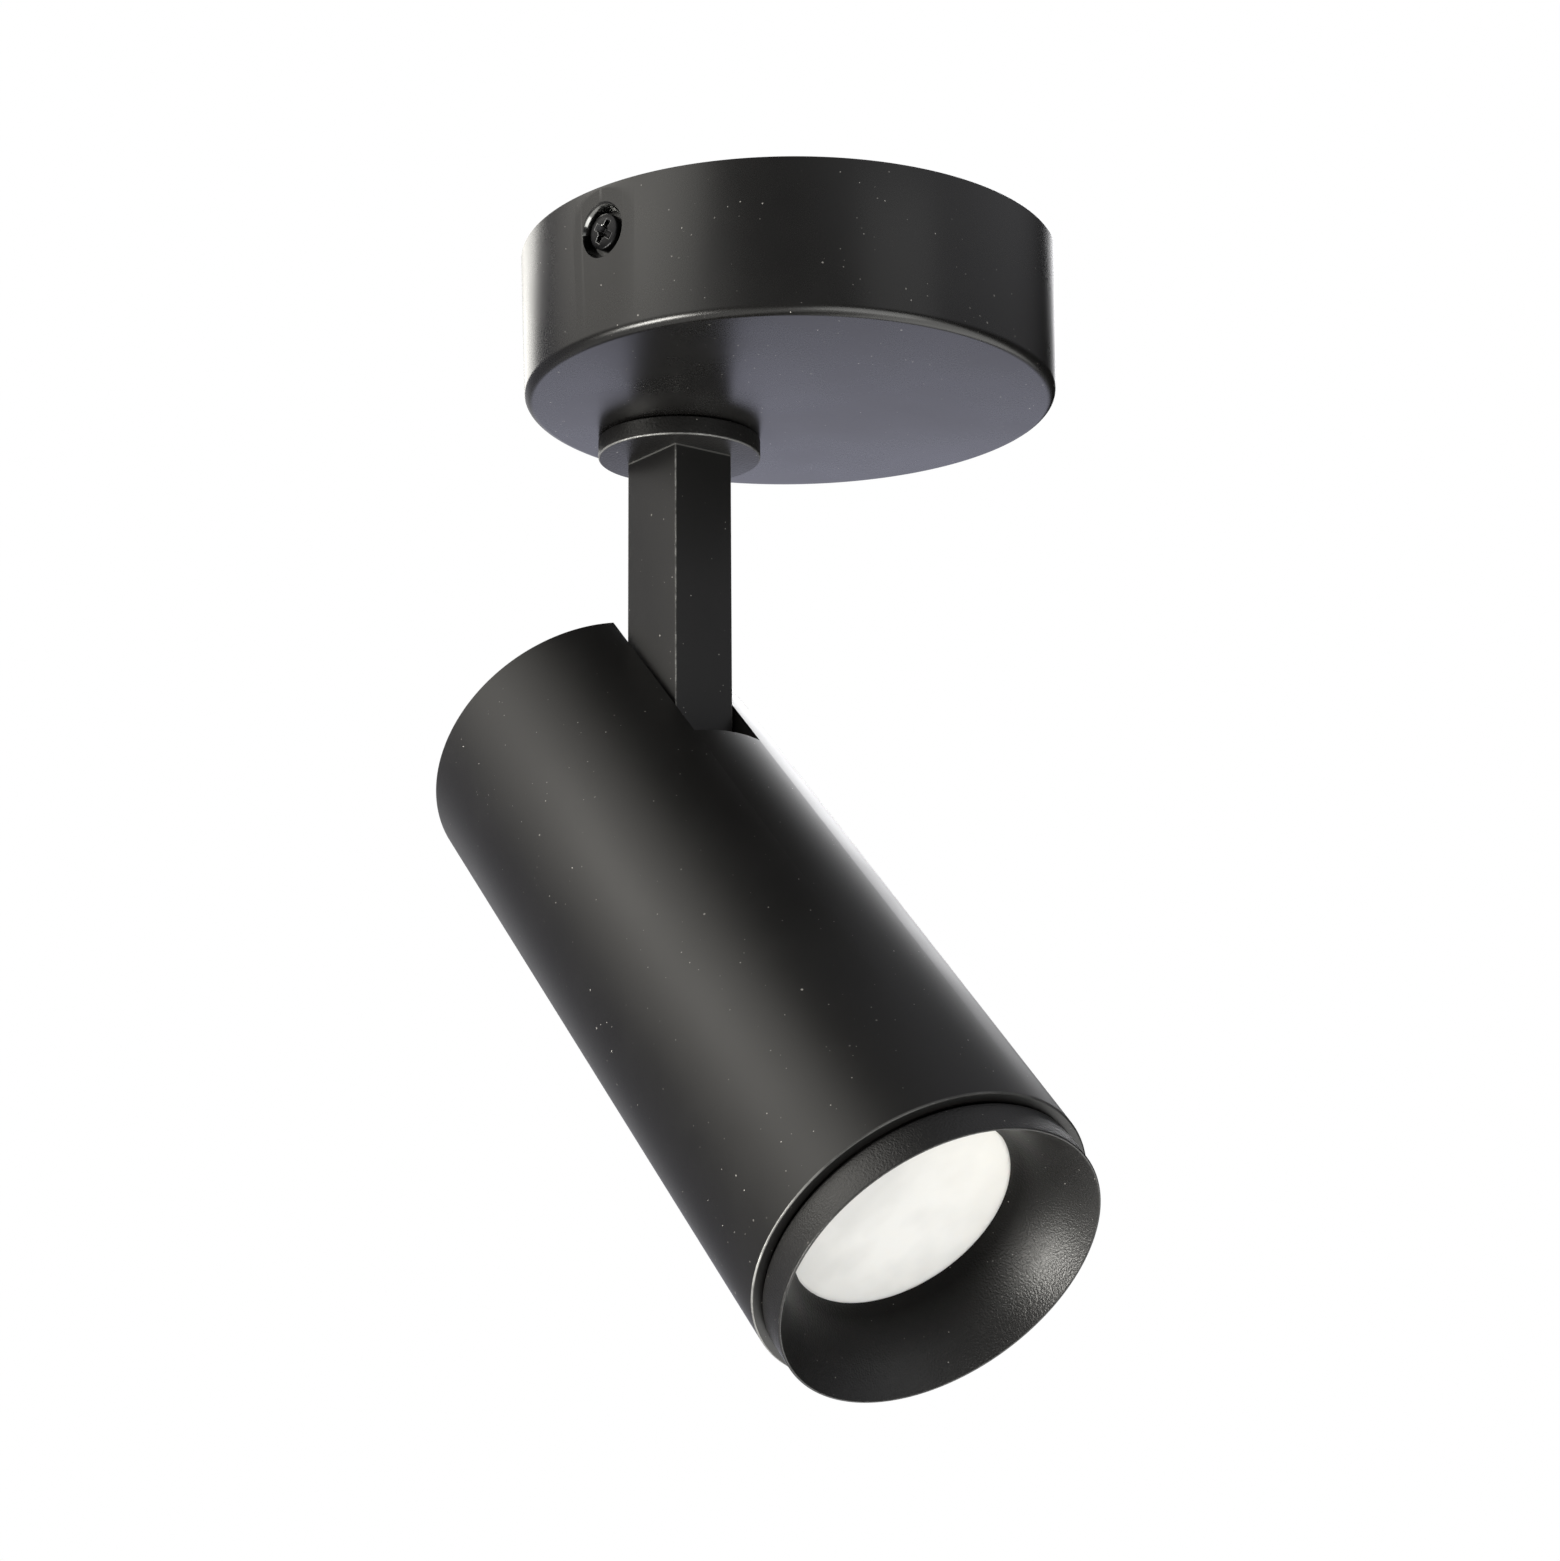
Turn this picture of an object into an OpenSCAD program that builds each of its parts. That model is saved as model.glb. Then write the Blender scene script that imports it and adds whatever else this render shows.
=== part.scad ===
// Surface mounted ceiling spotlight: round canopy, square bar on a swivel off the canopy's centre,
// and a slotted tube that tilts on the bar's lower end. The origin is the centre of the canopy's
// ceiling face and +Z points to the ceiling. The two side screws lie along Y, the swivel along -X.

/* [Canopy] */
// Diameter of the canopy where it meets the ceiling
canopy_d = 100; // [96:1:120]
// How far the canopy's side leans in from the ceiling to its lower end
canopy_draft = 0.8; // [0:0.1:2]
// Height of the canopy
canopy_h = 28; // [27:0.5:36]
// Thickness of the canopy's side wall
canopy_wall = 1.8; // [1.2:0.1:2.4]
// Thickness of the canopy's floor
canopy_floor = 2.4; // [2:0.1:3]
// Radius of the rounding along the canopy's lower edge
canopy_edge_r = 1.8; // [0.6:0.1:2.2]
// How far below the ceiling the two side screws sit
side_screw_drop = 8.1; // [7.8:0.1:10]
// Diameter of the cone round each side screw, at the canopy's face
recess_mouth_d = 11.6; // [10:0.1:13]
// Depth of the cone round each side screw
recess_deep = 2.6; // [2:0.1:3]

/* [Ceiling bracket] */
// Width of the bracket
bracket_w = 24; // [22:1:28]
// Thickness of the bracket's sheet
bracket_t = 1.5; // [1:0.1:2]
// Width of each slot for a ceiling screw
fix_slot_w = 4.5; // [4:0.1:5.5]
// Length of each slot for a ceiling screw, end to end
fix_slot_len = 14; // [8:0.5:15]
// Distance between the middles of the two slots
fix_slot_spacing = 54; // [53:1:58]
// Diameter of the hole for the supply cable
cable_hole_d = 16; // [10:0.5:16]

/* [Swivel and bar] */
// Distance of the swivel axis from the canopy's edge
swivel_in = 21.7; // [20.5:0.1:23]
// Heading of the head as photographed, turned from +X about the swivel
heading = -11.57; // [-160:0.01:160]
// Diameter of the round collar under the canopy
collar_d = 31; // [27:0.5:36]
// Height from the canopy's underside to the collar's underside
collar_h = 4; // [3.5:0.1:6]
// Size of the bar's section along the way the head points
bar_w = 16; // [15:0.5:17]
// Size of the bar's section along the hinge
bar_t = 13; // [12.5:0.1:13.5]
// Length of the bar from the collar's underside to the hinge axis
bar_drop = 60.5; // [50:0.5:90]

/* [Head] */
// Tilt of the head as photographed, from straight down
tilt = 45.63; // [0:0.01:90]
// Outer diameter of the tube
tube_d = 62; // [61:0.5:66]
// Length of the tube
tube_len = 142; // [140:1:180]
// Wall of the tube at its front
tube_wall = 2; // [1.6:0.1:2.4]
// Step by which the tube's wall is thicker round the hinge
tube_step = 1; // [0.8:0.1:1.4]
// Width of the slot that the bar passes through
slot_w = 14.8; // [14.6:0.1:15.4]
// Distance of the hinge axis from the tube's rear rim
hinge_back = 29; // [28:0.5:32]
// Distance of the hinge axis from the tube's outside
hinge_in = 14.1; // [13.8:0.1:15]

/* [Bezel and lens] */
// How far the bezel stands out of the tube
bezel_out = 7; // [6:0.1:9]
// Width of the dark groove between tube and bezel
groove_w = 1.2; // [0.8:0.1:1.6]
// How far the bezel's band stands back from the tube's outside
band_step = 1.5; // [1:0.1:1.7]
// Depth of the bezel's inner cone
cone_deep = 15; // [12:0.5:17]
// Width of the cone from the bezel's front edge in to the opening, seen from the front
cone_w = 8.5; // [8:0.1:11]
// Thickness of the lens
lens_t = 2.4; // [1.6:0.1:3]

/* [Heat sink and lamp] */
// Number of fins round the heat sink
fin_count = 20; // [12:1:24]
// Thickness of one fin
fin_t = 1.5; // [1.2:0.1:1.8]
// Diameter of the heat sink's core
core_d = 22; // [18:1:26]
// Share of the room between hinge and lens that the heat sink takes
sink_share = 0.72; // [0.6:0.01:0.75]
// Side of the square board that carries the lamp
board_side = 13.5; // [12:0.5:14]
// Diameter of the lamp's lit face
emitter_d = 9.5; // [6:0.5:10]

/* [Leads] */
// Diameter of the two-core lead that runs from the driver to the lamp
lead_d = 3.4; // [2.6:0.1:3.6]

/* [Hidden] */
$fn = 96;

// Overrun of a cut past the face that it opens
cut = 1;
// Clearance round a piece that sits in another piece of its own body
fit_gap = 0.05;
// Running clearance round a shaft
run_gap = 0.05;
// Gap between flat faces that slide past each other
slide_gap = 0.3;

// Colours of the finishes
coat = "#29292b";
zinc = "#b9bcc0";
alu = "#c9cbce";
brass = "#c8a558";
moulded = "#e8e6e0";
rubber = "#3a3a3c";

// Canopy: rounded inner corner, bosses behind the side screws and posts on the floor
canopy_top_r = canopy_d / 2;
canopy_low_r = canopy_top_r - canopy_draft;
room_r = canopy_low_r - canopy_wall;
swivel_off = canopy_top_r - swivel_in;
floor_z = -(canopy_h - canopy_floor);
recess_land = 1.4;
recess_seat_d = 8.6;
wall_boss_d = 15;
post_d = 7;
post_h = 4;

// Side screws, with a cross recess
side_screw_d = 4;
side_screw_len = 8;
side_head_d = 7.2;
side_head_h = 2.2;
cross_w = 0.9;
cross_len = 4;
cross_deep = 1.3;
seat_y = canopy_top_r - (canopy_top_r - canopy_low_r) * side_screw_drop / canopy_h - recess_deep;

// Bracket ears, nuts and earth screw
ear_y = seat_y - recess_land;
ear_w = 16;
ear_tail = 6.5;
ear_slope = 6;
bend_r = 1.5;
nut_side = 7;
nut_t = 3.2;
earth_y = 14;
earth_d = 3.9;
earth_head_d = 7;
earth_head_h = 2.4;
earth_washer_d = 8;
earth_washer_t = 0.8;

// Driver, beside the swivel and as near to the canopy's wall as its corners allow
driver_from_swivel = 22.3;
driver_len_share = 0.654;
driver_wall_gap = 4.3;
driver_x = -swivel_off + driver_from_swivel;
driver_len = 2 * room_r * driver_len_share;
driver_w = sqrt(pow(room_r - driver_wall_gap, 2) - pow(driver_len / 2, 2)) - driver_x;
driver_h = 15;
driver_wall = 1.6;
driver_corner_r = 3;
lid_t = 1.6;
lid_lip = 2;
lid_lip_t = 1.2;
tab_len = 7.5;
tab_w = 12;
tab_t = 2;
nose_d = 5.2;
nose_len = 1.2;
pcb_gap = 1;
pcb_post_h = 3;
pcb_post_d = 5;
pcb_t = 1.6;
coil_side_share = 0.45;
coil_h = 7.5;
coil_y_share = 0.1;
can_d_share = 0.26;
can_h = 7;
can_x_share = 0.3;
can_y_share = 0.36;
choke_d_share = 0.29;
choke_h = 6;

// Floor screws
small_screw_d = 3;
small_head_d = 5.6;
small_head_h = 1.9;
floor_screw_len = 6;

// Terminal block
pole_pitch = 6;
pole_count = 3;
pole_d = 5.2;
pole_h = 3;
terminal_from_swivel = 4.3;
terminal_wall_gap = 5.4;
terminal_x = -swivel_off + terminal_from_swivel;
terminal_w = 12;
terminal_y = sqrt(pow(room_r - terminal_wall_gap, 2) - pow(terminal_x, 2)) - pole_pitch * pole_count;
terminal_h = 9;
terminal_screw_d = 3;
terminal_screw_len = 5;
terminal_screw_sink = 1;
terminal_slot_w = 0.6;
terminal_slot_deep = 0.8;
wire_hole_d = 2.6;
wire_hole_up = 4.5;
supply_d = 2;
supply_in = 3;
terminal_tab = 4.5;
terminal_tab_w = 9;

// Swivel: what lies on the canopy's floor round the nipple
nipple_d = 8;
nipple_bore_d = 4.6;
nipple_in_bar = 8;
nipple_flat = 6.6;
nipple_over = 0.7;
collar_edge = 0.35;
washer_pocket = 0.6;
washer_d = 25;
bar_pocket = 1;
inner_washer_d = 18;
inner_washer_t = 0.8;
stop_washer_d = 18;
stop_washer_t = 1.2;
tab_reach = 12.5;
tab_side = 2.5;
pin_d = 2.5;
pin_off = 11;
pin_in_floor = 1.6;
pin_up = 2.2;
spring_d = 16;
spring_bore_d = 8.4;
spring_t = 0.6;
spring_rise = 1.1;
swivel_nut_side = 13;
swivel_nut_t = 4;
stop_washer_z = floor_z + inner_washer_t;
spring_z = stop_washer_z + stop_washer_t;
swivel_nut_z = spring_z + spring_rise;
nipple_top = swivel_nut_z + swivel_nut_t + nipple_over;
nipple_foot = -(canopy_h + collar_h + nipple_in_bar);

// Bar
bar_top = -(canopy_h + collar_h - bar_pocket);
hinge_z = -(canopy_h + collar_h + bar_drop);
bar_edge = 0.3;
bar_bore_d = 5;

// Hinge: screw on one side of the bar, hollow bush with the lead on the other
pivot_screw_d = 5;
pivot_screw_in = 3.6;
pivot_shoulder_d = 6;
pivot_head_d = 9.5;
pivot_head_t = 2.6;
pivot_key_side = 3;
pivot_key_deep = 1.4;
bush_d = 8;
bush_in = 3.3;
bush_bore_d = 4.6;
bush_head_side = 11;
bush_head_t = 2;
hinge_washer_d = 14;
hinge_washer_t = 0.5;
ear_t = 2;
ear_inner = bar_t / 2 + hinge_washer_t;
ear_outer = ear_inner + ear_t;
bush_end = ear_outer + slide_gap + bush_head_t;
hinge_ear_r = 8.5;
hinge_base_gap = 2;
hinge_base_tail = 8;
hinge_bend_r = 0.8;

// Tube: the step in its bore seats the heat sink, the counterbore at its rear seats the cap
tube_r = tube_d / 2;
hinge_off = tube_r - hinge_in;
bore_r = tube_r - tube_wall;
bore_step_r = bore_r - tube_step;
stop_gap = 0.4;
slot_len = hinge_back + bar_w / 2 + stop_gap;
sink_z = -(hinge_back + bar_w / 2 + hinge_base_gap + ear_t);
tube_front_edge = 0.4;
tube_rear_edge = 0.15;
snap_back = 6;
snap_w = 2;
snap_deep = 0.5;

// Rear cap
cap_in = 1;
cap_t = 3;
cap_edge = 0.4;
cap_screw_d = 3;
cap_screw_head_d = 5.8;
cap_screw_head_h = 1.6;
cap_screw_len = 9;
cap_post_d = 7;
cap_post_in = 8.2;
cap_post_turn = 125;
cap_post_x = (bore_r - cap_post_in) * cos(cap_post_turn);
cap_post_y = (bore_r - cap_post_in) * sin(cap_post_turn);

// Heat sink
sink_flange_t = 4;
sink_plate_t = 5;
fin_root = 1;
fin_short = 0.6;
bracket_screw_x = 0;
bracket_screw_y = 5.5;
bracket_screw_len = 5;
lead_slot_gap = 0.5;

// Lamp
pad_t = 0.5;
board_t = 1.2;
emitter_t = 0.4;
throat_share = 0.276;
throat_r = bore_r * throat_share;
holder_screw_out = 6.5;
holder_screw_r = throat_r + holder_screw_out;
holder_rim = 4.5;
holder_r = holder_screw_r + holder_rim;
holder_t = 4;
holder_screw_len = 7;
holder_mouth_d = 11;
inlet_w = 7;
inlet_out = 1;
inlet_r = holder_r + inlet_out;
reflector_t = 0.8;
mouth_in = 1.5;
flange_t = 1;
reflector_steps = 12;

// Bezel, lens and gasket, by their depth along the tube
bezel_front = -(tube_len + bezel_out);
band_r = tube_r - band_step;
band_back = -(tube_len + groove_w);
band_round = 0.9;
rim_w = 0.5;
cone_foot = bezel_front + cone_deep;
aperture_r = band_r - rim_w - cone_w;
lip_h = 1.2;
lens_z = cone_foot + lip_h;
lens_grip = 3;
lens_r = aperture_r + lens_grip;
mouth_r = lens_r - mouth_in;
gasket_t = 0.8;
gasket_w = 1.6;
dish_front = lens_z + lens_t + gasket_t;
sink_len = (sink_z - dish_front) * sink_share;
sink_front = sink_z - sink_len;
ring_w = 1.6;
ring_back = 0.6;
neck_in = 1.7;
neck_len = 1.6;
skirt_t = 1.5;
skirt_len = 14;
skirt_gap = 0.2;
skirt_cut_w = 2;
skirt_cut_count = 8;
skirt_cut_end = 3;
cone_wall = 1.6;
bead_h = 0.45;
bead_w = 1.4;

// Lead: bend radii and places
canopy_bend_r = 4.5;
bar_bend_r = 4;
hinge_bend_lead_r = 5;
lamp_bend_r = 2.6;
lead_stub = 1;
lead_y = bush_end + lead_stub + hinge_bend_lead_r;
lead_r = norm([hinge_off, lead_y]);
lead_turn = atan2(lead_y, hinge_off);
holder_z = sink_front - holder_t;
inlet_z = sink_front - holder_t / 2;

// Frame of the bar: the swivel axis, with +X the way the head points
module on_arm() translate([-swivel_off, 0, 0]) rotate([0, 0, heading]) children();

// Frame of the head: the tube's rear rim, with +Z to the rear and +X to the slotted side
module on_head()
    on_arm() translate([0, 0, hinge_z]) rotate([0, -tilt, 0])
        translate([-hinge_off, 0, hinge_back]) children();

// Places a piece at a side screw, with +Z pointing out of the canopy
module at_side_screw(side)
    translate([0, side * seat_y, -side_screw_drop]) rotate([-90 * side, 0, 0]) children();

// Ring on z = 0
module ring(outer_r, inner_r, h)
    difference() {
        cylinder(r = outer_r, h = h);
        translate([0, 0, -cut]) cylinder(r = inner_r, h = h + 2 * cut);
    }

// Screw whose head bears on z = 0 and stands up from there, domed on top
module pan_screw(d, len, head_d, head_h) {
    translate([0, 0, -len]) cylinder(d = d, h = len);
    difference() {
        intersection() {
            cylinder(d = head_d, h = head_h);
            translate([0, 0, head_h - head_d]) sphere(r = head_d);
        }
        for (turn = [45, 135])
            rotate([0, 0, turn]) translate([-cross_len / 2, -cross_w / 2, head_h - cross_deep])
                cube([cross_len, cross_w, cross_deep + cut]);
    }
}

// Rectangle about the origin with rounded corners
module round_rect(w, h, r) {
    square([w - 2 * r, h], center = true);
    square([w, h - 2 * r], center = true);
    for (x = [-1, 1], y = [-1, 1]) translate([x * (w / 2 - r), y * (h / 2 - r)]) circle(r = r);
}

// Rectangle hanging from y = 0 with its two upper corners rounded
module hung_rect(w, h, r) {
    translate([-w / 2, -h]) square([w, h - r]);
    translate([-(w / 2 - r), -h]) square([w - 2 * r, h]);
    for (side = [-1, 1]) translate([side * (w / 2 - r), -r]) circle(r = r);
}

// Strip bent into a channel, seen from its end
module channel(w, leg, t, r)
    difference() {
        hung_rect(w, leg, r + t);
        translate([0, -t]) hung_rect(w - 2 * t, leg, r);
    }

// Slot with round ends along Y, cut down through z = 0 by t
module long_hole(w, len, t)
    translate([0, 0, -t - cut]) linear_extrude(t + 2 * cut) {
        square([w, len - w], center = true);
        for (side = [-1, 1]) translate([0, side * (len - w) / 2]) circle(d = w);
    }

// Quarter bend of a lead in the XY plane, from +X round to +Y
module bend(r) rotate_extrude(angle = 90) translate([r, 0]) circle(d = lead_d);

// Six-sided plan by its width across the flats
module hex(side, h) cylinder(d = side / cos(30), h = h, $fn = 6);

// Round bar with two flats, for the nipple and the washer keyed to it
module two_flats(d, flat, h)
    intersection() {
        cylinder(d = d, h = h);
        translate([-flat / 2, -d, 0]) cube([flat, 2 * d, h]);
    }

// Fixed to the ceiling

// Plan of the bracket, drawn in to the width of its ears at both ends
module bracket_plan() {
    shoulder_y = ear_y - ear_slope;
    for (turn = [0, 180]) rotate([0, 0, turn]) polygon([
        [-bracket_w / 2, 0],
        [bracket_w / 2, 0],
        [bracket_w / 2, shoulder_y],
        [ear_w / 2, shoulder_y + (bracket_w - ear_w) / 2],
        [ear_w / 2, ear_y],
        [-ear_w / 2, ear_y],
        [-ear_w / 2, shoulder_y + (bracket_w - ear_w) / 2],
        [-bracket_w / 2, shoulder_y]]);
}

module mounting_bracket()
    color(zinc) difference() {
        intersection() {
            rotate([90, 0, 90]) linear_extrude(bracket_w, center = true)
                channel(2 * ear_y, side_screw_drop + ear_tail, bracket_t, bend_r);
            translate([0, 0, -canopy_h]) linear_extrude(canopy_h) bracket_plan();
        }
        for (side = [-1, 1]) {
            translate([0, side * fix_slot_spacing / 2, 0]) long_hole(fix_slot_w, fix_slot_len, bracket_t);
            at_side_screw(side) translate([0, 0, -recess_land - bracket_t - cut])
                cylinder(d = side_screw_d + 2 * fit_gap, h = bracket_t + 2 * cut);
        }
        translate([0, 0, -bracket_t - cut]) cylinder(d = cable_hole_d, h = bracket_t + 2 * cut);
        translate([0, earth_y, -bracket_t - cut])
            cylinder(d = earth_d + 2 * fit_gap, h = bracket_t + 2 * cut);
    }

module bracket_nuts()
    color(zinc) for (side = [-1, 1])
        at_side_screw(side) translate([0, 0, -recess_land - bracket_t - nut_t])
            difference() {
                hex(nut_side, nut_t);
                translate([0, 0, -cut]) cylinder(d = side_screw_d + 2 * fit_gap, h = nut_t + 2 * cut);
            }

module earth_screw()
    color(brass) translate([0, earth_y, -bracket_t]) mirror([0, 0, 1]) {
        translate([0, 0, -bracket_t]) cylinder(d = earth_d, h = bracket_t);
        cylinder(d = earth_washer_d, h = earth_washer_t);
        translate([0, 0, earth_washer_t]) pan_screw(earth_d, earth_washer_t, earth_head_d, earth_head_h);
    }

module canopy_outline() {
    polygon([
        [0, 0],
        [canopy_top_r, 0],
        [canopy_low_r, -(canopy_h - canopy_edge_r)],
        [canopy_low_r - canopy_edge_r, -canopy_h],
        [0, -canopy_h]]);
    translate([canopy_low_r - canopy_edge_r, -(canopy_h - canopy_edge_r)]) circle(r = canopy_edge_r);
}

module canopy_hollow() {
    hollow_low_r = canopy_low_r - canopy_wall;
    polygon([
        [0, cut],
        [canopy_top_r - canopy_wall, cut],
        [canopy_top_r - canopy_wall, 0],
        [hollow_low_r, floor_z + canopy_edge_r],
        [hollow_low_r - canopy_edge_r, floor_z],
        [0, floor_z]]);
    translate([hollow_low_r - canopy_edge_r, floor_z + canopy_edge_r]) circle(r = canopy_edge_r);
}

// Places of the posts on the canopy's floor: two for the driver, one for the terminal block
driver_mid = [driver_x + driver_w / 2, 0];
post_places = [
    [driver_mid[0], driver_len / 2 + tab_len - post_d / 2],
    [driver_mid[0], -(driver_len / 2 + tab_len - post_d / 2)],
    [terminal_x - terminal_tab, terminal_y + pole_pitch * pole_count / 2]];

// Height of the foot of a floor screw
floor_screw_z = floor_z + post_h + tab_t - floor_screw_len;

module canopy()
    color(coat) difference() {
        union() {
            rotate_extrude() difference() {
                canopy_outline();
                canopy_hollow();
            }
            intersection() {
                rotate_extrude() canopy_outline();
                for (side = [-1, 1]) at_side_screw(side) translate([0, 0, -recess_land])
                    cylinder(d = wall_boss_d, h = recess_land + recess_deep + cut);
            }
            for (p = post_places) translate([p[0], p[1], floor_z]) cylinder(d = post_d, h = post_h);
        }
        for (side = [-1, 1]) at_side_screw(side) {
            cylinder(d1 = recess_seat_d, h = recess_deep + cut,
                d2 = recess_mouth_d + (recess_mouth_d - recess_seat_d) * cut / recess_deep);
            translate([0, 0, -recess_land - cut])
                cylinder(d = side_screw_d + 4 * fit_gap, h = recess_land + 2 * cut);
        }
        for (p = post_places) translate([p[0], p[1], floor_screw_z - fit_gap])
            cylinder(d = small_screw_d + 2 * fit_gap, h = floor_screw_len);
        translate([-swivel_off, 0, -canopy_h - cut])
            cylinder(d = nipple_d + 2 * run_gap, h = canopy_floor + 2 * cut);
        translate([-swivel_off - pin_off, 0, floor_z - pin_in_floor]) cylinder(d = pin_d, h = canopy_floor);
    }

module canopy_screws()
    color(zinc) for (side = [-1, 1])
        at_side_screw(side) pan_screw(side_screw_d, side_screw_len, side_head_d, side_head_h);

module driver_plan(grow)
    translate(driver_mid)
        round_rect(driver_w + 2 * grow, driver_len + 2 * grow, max(driver_corner_r + grow, fit_gap));

module driver_case()
    color("#1f1f21") difference() {
        union() {
            translate([0, 0, floor_z]) linear_extrude(driver_h) driver_plan(0);
            for (side = [0, 1])
                translate([post_places[side][0], 0, floor_z + post_h]) linear_extrude(tab_t) {
                    translate([0, post_places[side][1]]) circle(d = tab_w);
                    translate([-tab_w / 2, min(0, post_places[side][1])])
                        square([tab_w, abs(post_places[side][1])]);
                }
            translate([driver_x - nose_len, 0, nipple_top + canopy_bend_r])
                rotate([0, 90, 0]) cylinder(d = nose_d, h = nose_len + driver_wall);
        }
        translate([0, 0, floor_z + driver_wall]) linear_extrude(driver_h) driver_plan(-driver_wall);
        for (side = [0, 1]) translate([post_places[side][0], post_places[side][1], floor_z])
            cylinder(d = small_screw_d + 2 * fit_gap, h = post_h + tab_t + cut);
        translate([driver_x - nose_len - cut, 0, nipple_top + canopy_bend_r])
            rotate([0, 90, 0]) cylinder(d = lead_d + 2 * fit_gap, h = nose_len + driver_wall + 2 * cut);
    }

module driver_lid()
    color("#2c2c2e") translate([0, 0, floor_z + driver_h]) {
        linear_extrude(lid_t) driver_plan(0);
        translate([0, 0, -lid_lip]) linear_extrude(lid_lip) difference() {
            driver_plan(-driver_wall - fit_gap);
            driver_plan(-driver_wall - lid_lip_t);
        }
    }

module driver_board() {
    board_w = driver_w - 2 * driver_wall - 2 * pcb_gap;
    board_len = driver_len - 2 * driver_wall - 2 * pcb_gap;
    coil_side = coil_side_share * board_w;
    color("#2f6b3c") translate([driver_mid[0], 0, floor_z + driver_wall]) {
        for (x = [-1, 1], y = [-1, 1])
            translate([x * (board_w - pcb_post_d) / 2, y * (board_len - pcb_post_d) / 2, 0])
                cylinder(d = pcb_post_d, h = pcb_post_h);
        translate([-board_w / 2, -board_len / 2, pcb_post_h]) cube([board_w, board_len, pcb_t]);
        translate([0, 0, pcb_post_h + pcb_t]) {
            translate([-coil_side / 2, coil_y_share * board_len - coil_side / 2, 0])
                cube([coil_side, coil_side, coil_h]);
            for (side = [-1, 1]) translate([side * can_x_share * board_w, -can_y_share * board_len, 0])
                cylinder(d = can_d_share * board_w, h = can_h);
            translate([0, can_y_share * board_len, 0]) cylinder(d = choke_d_share * board_w, h = choke_h);
        }
    }
}

module terminal_block()
    color(moulded) difference() {
        union() {
            translate([terminal_x, terminal_y, floor_z])
                cube([terminal_w, pole_pitch * pole_count, terminal_h]);
            for (pole = [0 : pole_count - 1])
                translate([terminal_x + terminal_w / 2, terminal_y + pole_pitch * (pole + 1 / 2), floor_z])
                    cylinder(d = pole_d, h = terminal_h + pole_h);
            translate([0, 0, floor_z + post_h]) linear_extrude(tab_t) {
                translate(post_places[2]) circle(d = terminal_tab_w);
                translate([post_places[2][0], post_places[2][1] - terminal_tab_w / 2])
                    square([terminal_tab + terminal_w / 2, terminal_tab_w]);
            }
        }
        for (pole = [0 : pole_count - 1])
            translate([terminal_x + terminal_w / 2, terminal_y + pole_pitch * (pole + 1 / 2), floor_z]) {
                translate([0, 0, terminal_h + pole_h - terminal_screw_len])
                    cylinder(d = terminal_screw_d + 2 * fit_gap, h = terminal_screw_len + cut);
                translate([-terminal_w / 2 - cut, 0, wire_hole_up]) rotate([0, 90, 0])
                    cylinder(d = wire_hole_d, h = terminal_w + 2 * cut);
            }
        translate([post_places[2][0], post_places[2][1], floor_z + post_h - cut])
            cylinder(d = small_screw_d + 2 * fit_gap, h = tab_t + 2 * cut);
    }

module terminal_screws()
    color(brass) for (pole = [0 : pole_count - 1])
        translate([terminal_x + terminal_w / 2, terminal_y + pole_pitch * (pole + 1 / 2),
            floor_z + terminal_h + pole_h - terminal_screw_len])
            difference() {
                cylinder(d = terminal_screw_d, h = terminal_screw_len - terminal_screw_sink);
                translate([-terminal_screw_d, -terminal_slot_w / 2,
                    terminal_screw_len - terminal_screw_sink - terminal_slot_deep])
                    cube([2 * terminal_screw_d, terminal_slot_w, terminal_slot_deep + cut]);
            }

module floor_screws()
    color(zinc) for (p = post_places)
        translate([p[0], p[1], floor_z + post_h + tab_t])
            pan_screw(small_screw_d, floor_screw_len, small_head_d, small_head_h);

module supply_leads()
    color("#8a4a24") for (pole = [0, 1])
        translate([terminal_x + terminal_w - supply_in, terminal_y + pole_pitch * (pole + 1 / 2),
            floor_z + wire_hole_up])
            rotate([0, 90, 0]) cylinder(d = supply_d, h = driver_x - terminal_x - terminal_w + supply_in);

module canopy_lead()
    color("#d8d8d6") {
        translate([-swivel_off + canopy_bend_r, 0, nipple_top]) rotate([90, 0, 0]) rotate([0, 0, 90])
            bend(canopy_bend_r);
        translate([-swivel_off + canopy_bend_r, 0, nipple_top + canopy_bend_r]) rotate([0, 90, 0])
            cylinder(d = lead_d, h = driver_x + driver_wall + swivel_off - canopy_bend_r);
    }

module swivel_stop_pin()
    color(zinc) translate([-swivel_off - pin_off, 0, floor_z - pin_in_floor])
        cylinder(d = pin_d, h = pin_in_floor + pin_up);

// Turning with the bar

module collar_washer()
    color(moulded) on_arm() translate([0, 0, -canopy_h - slide_gap - washer_pocket])
        ring(washer_d / 2, nipple_d / 2 + fit_gap, slide_gap + washer_pocket);

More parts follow.
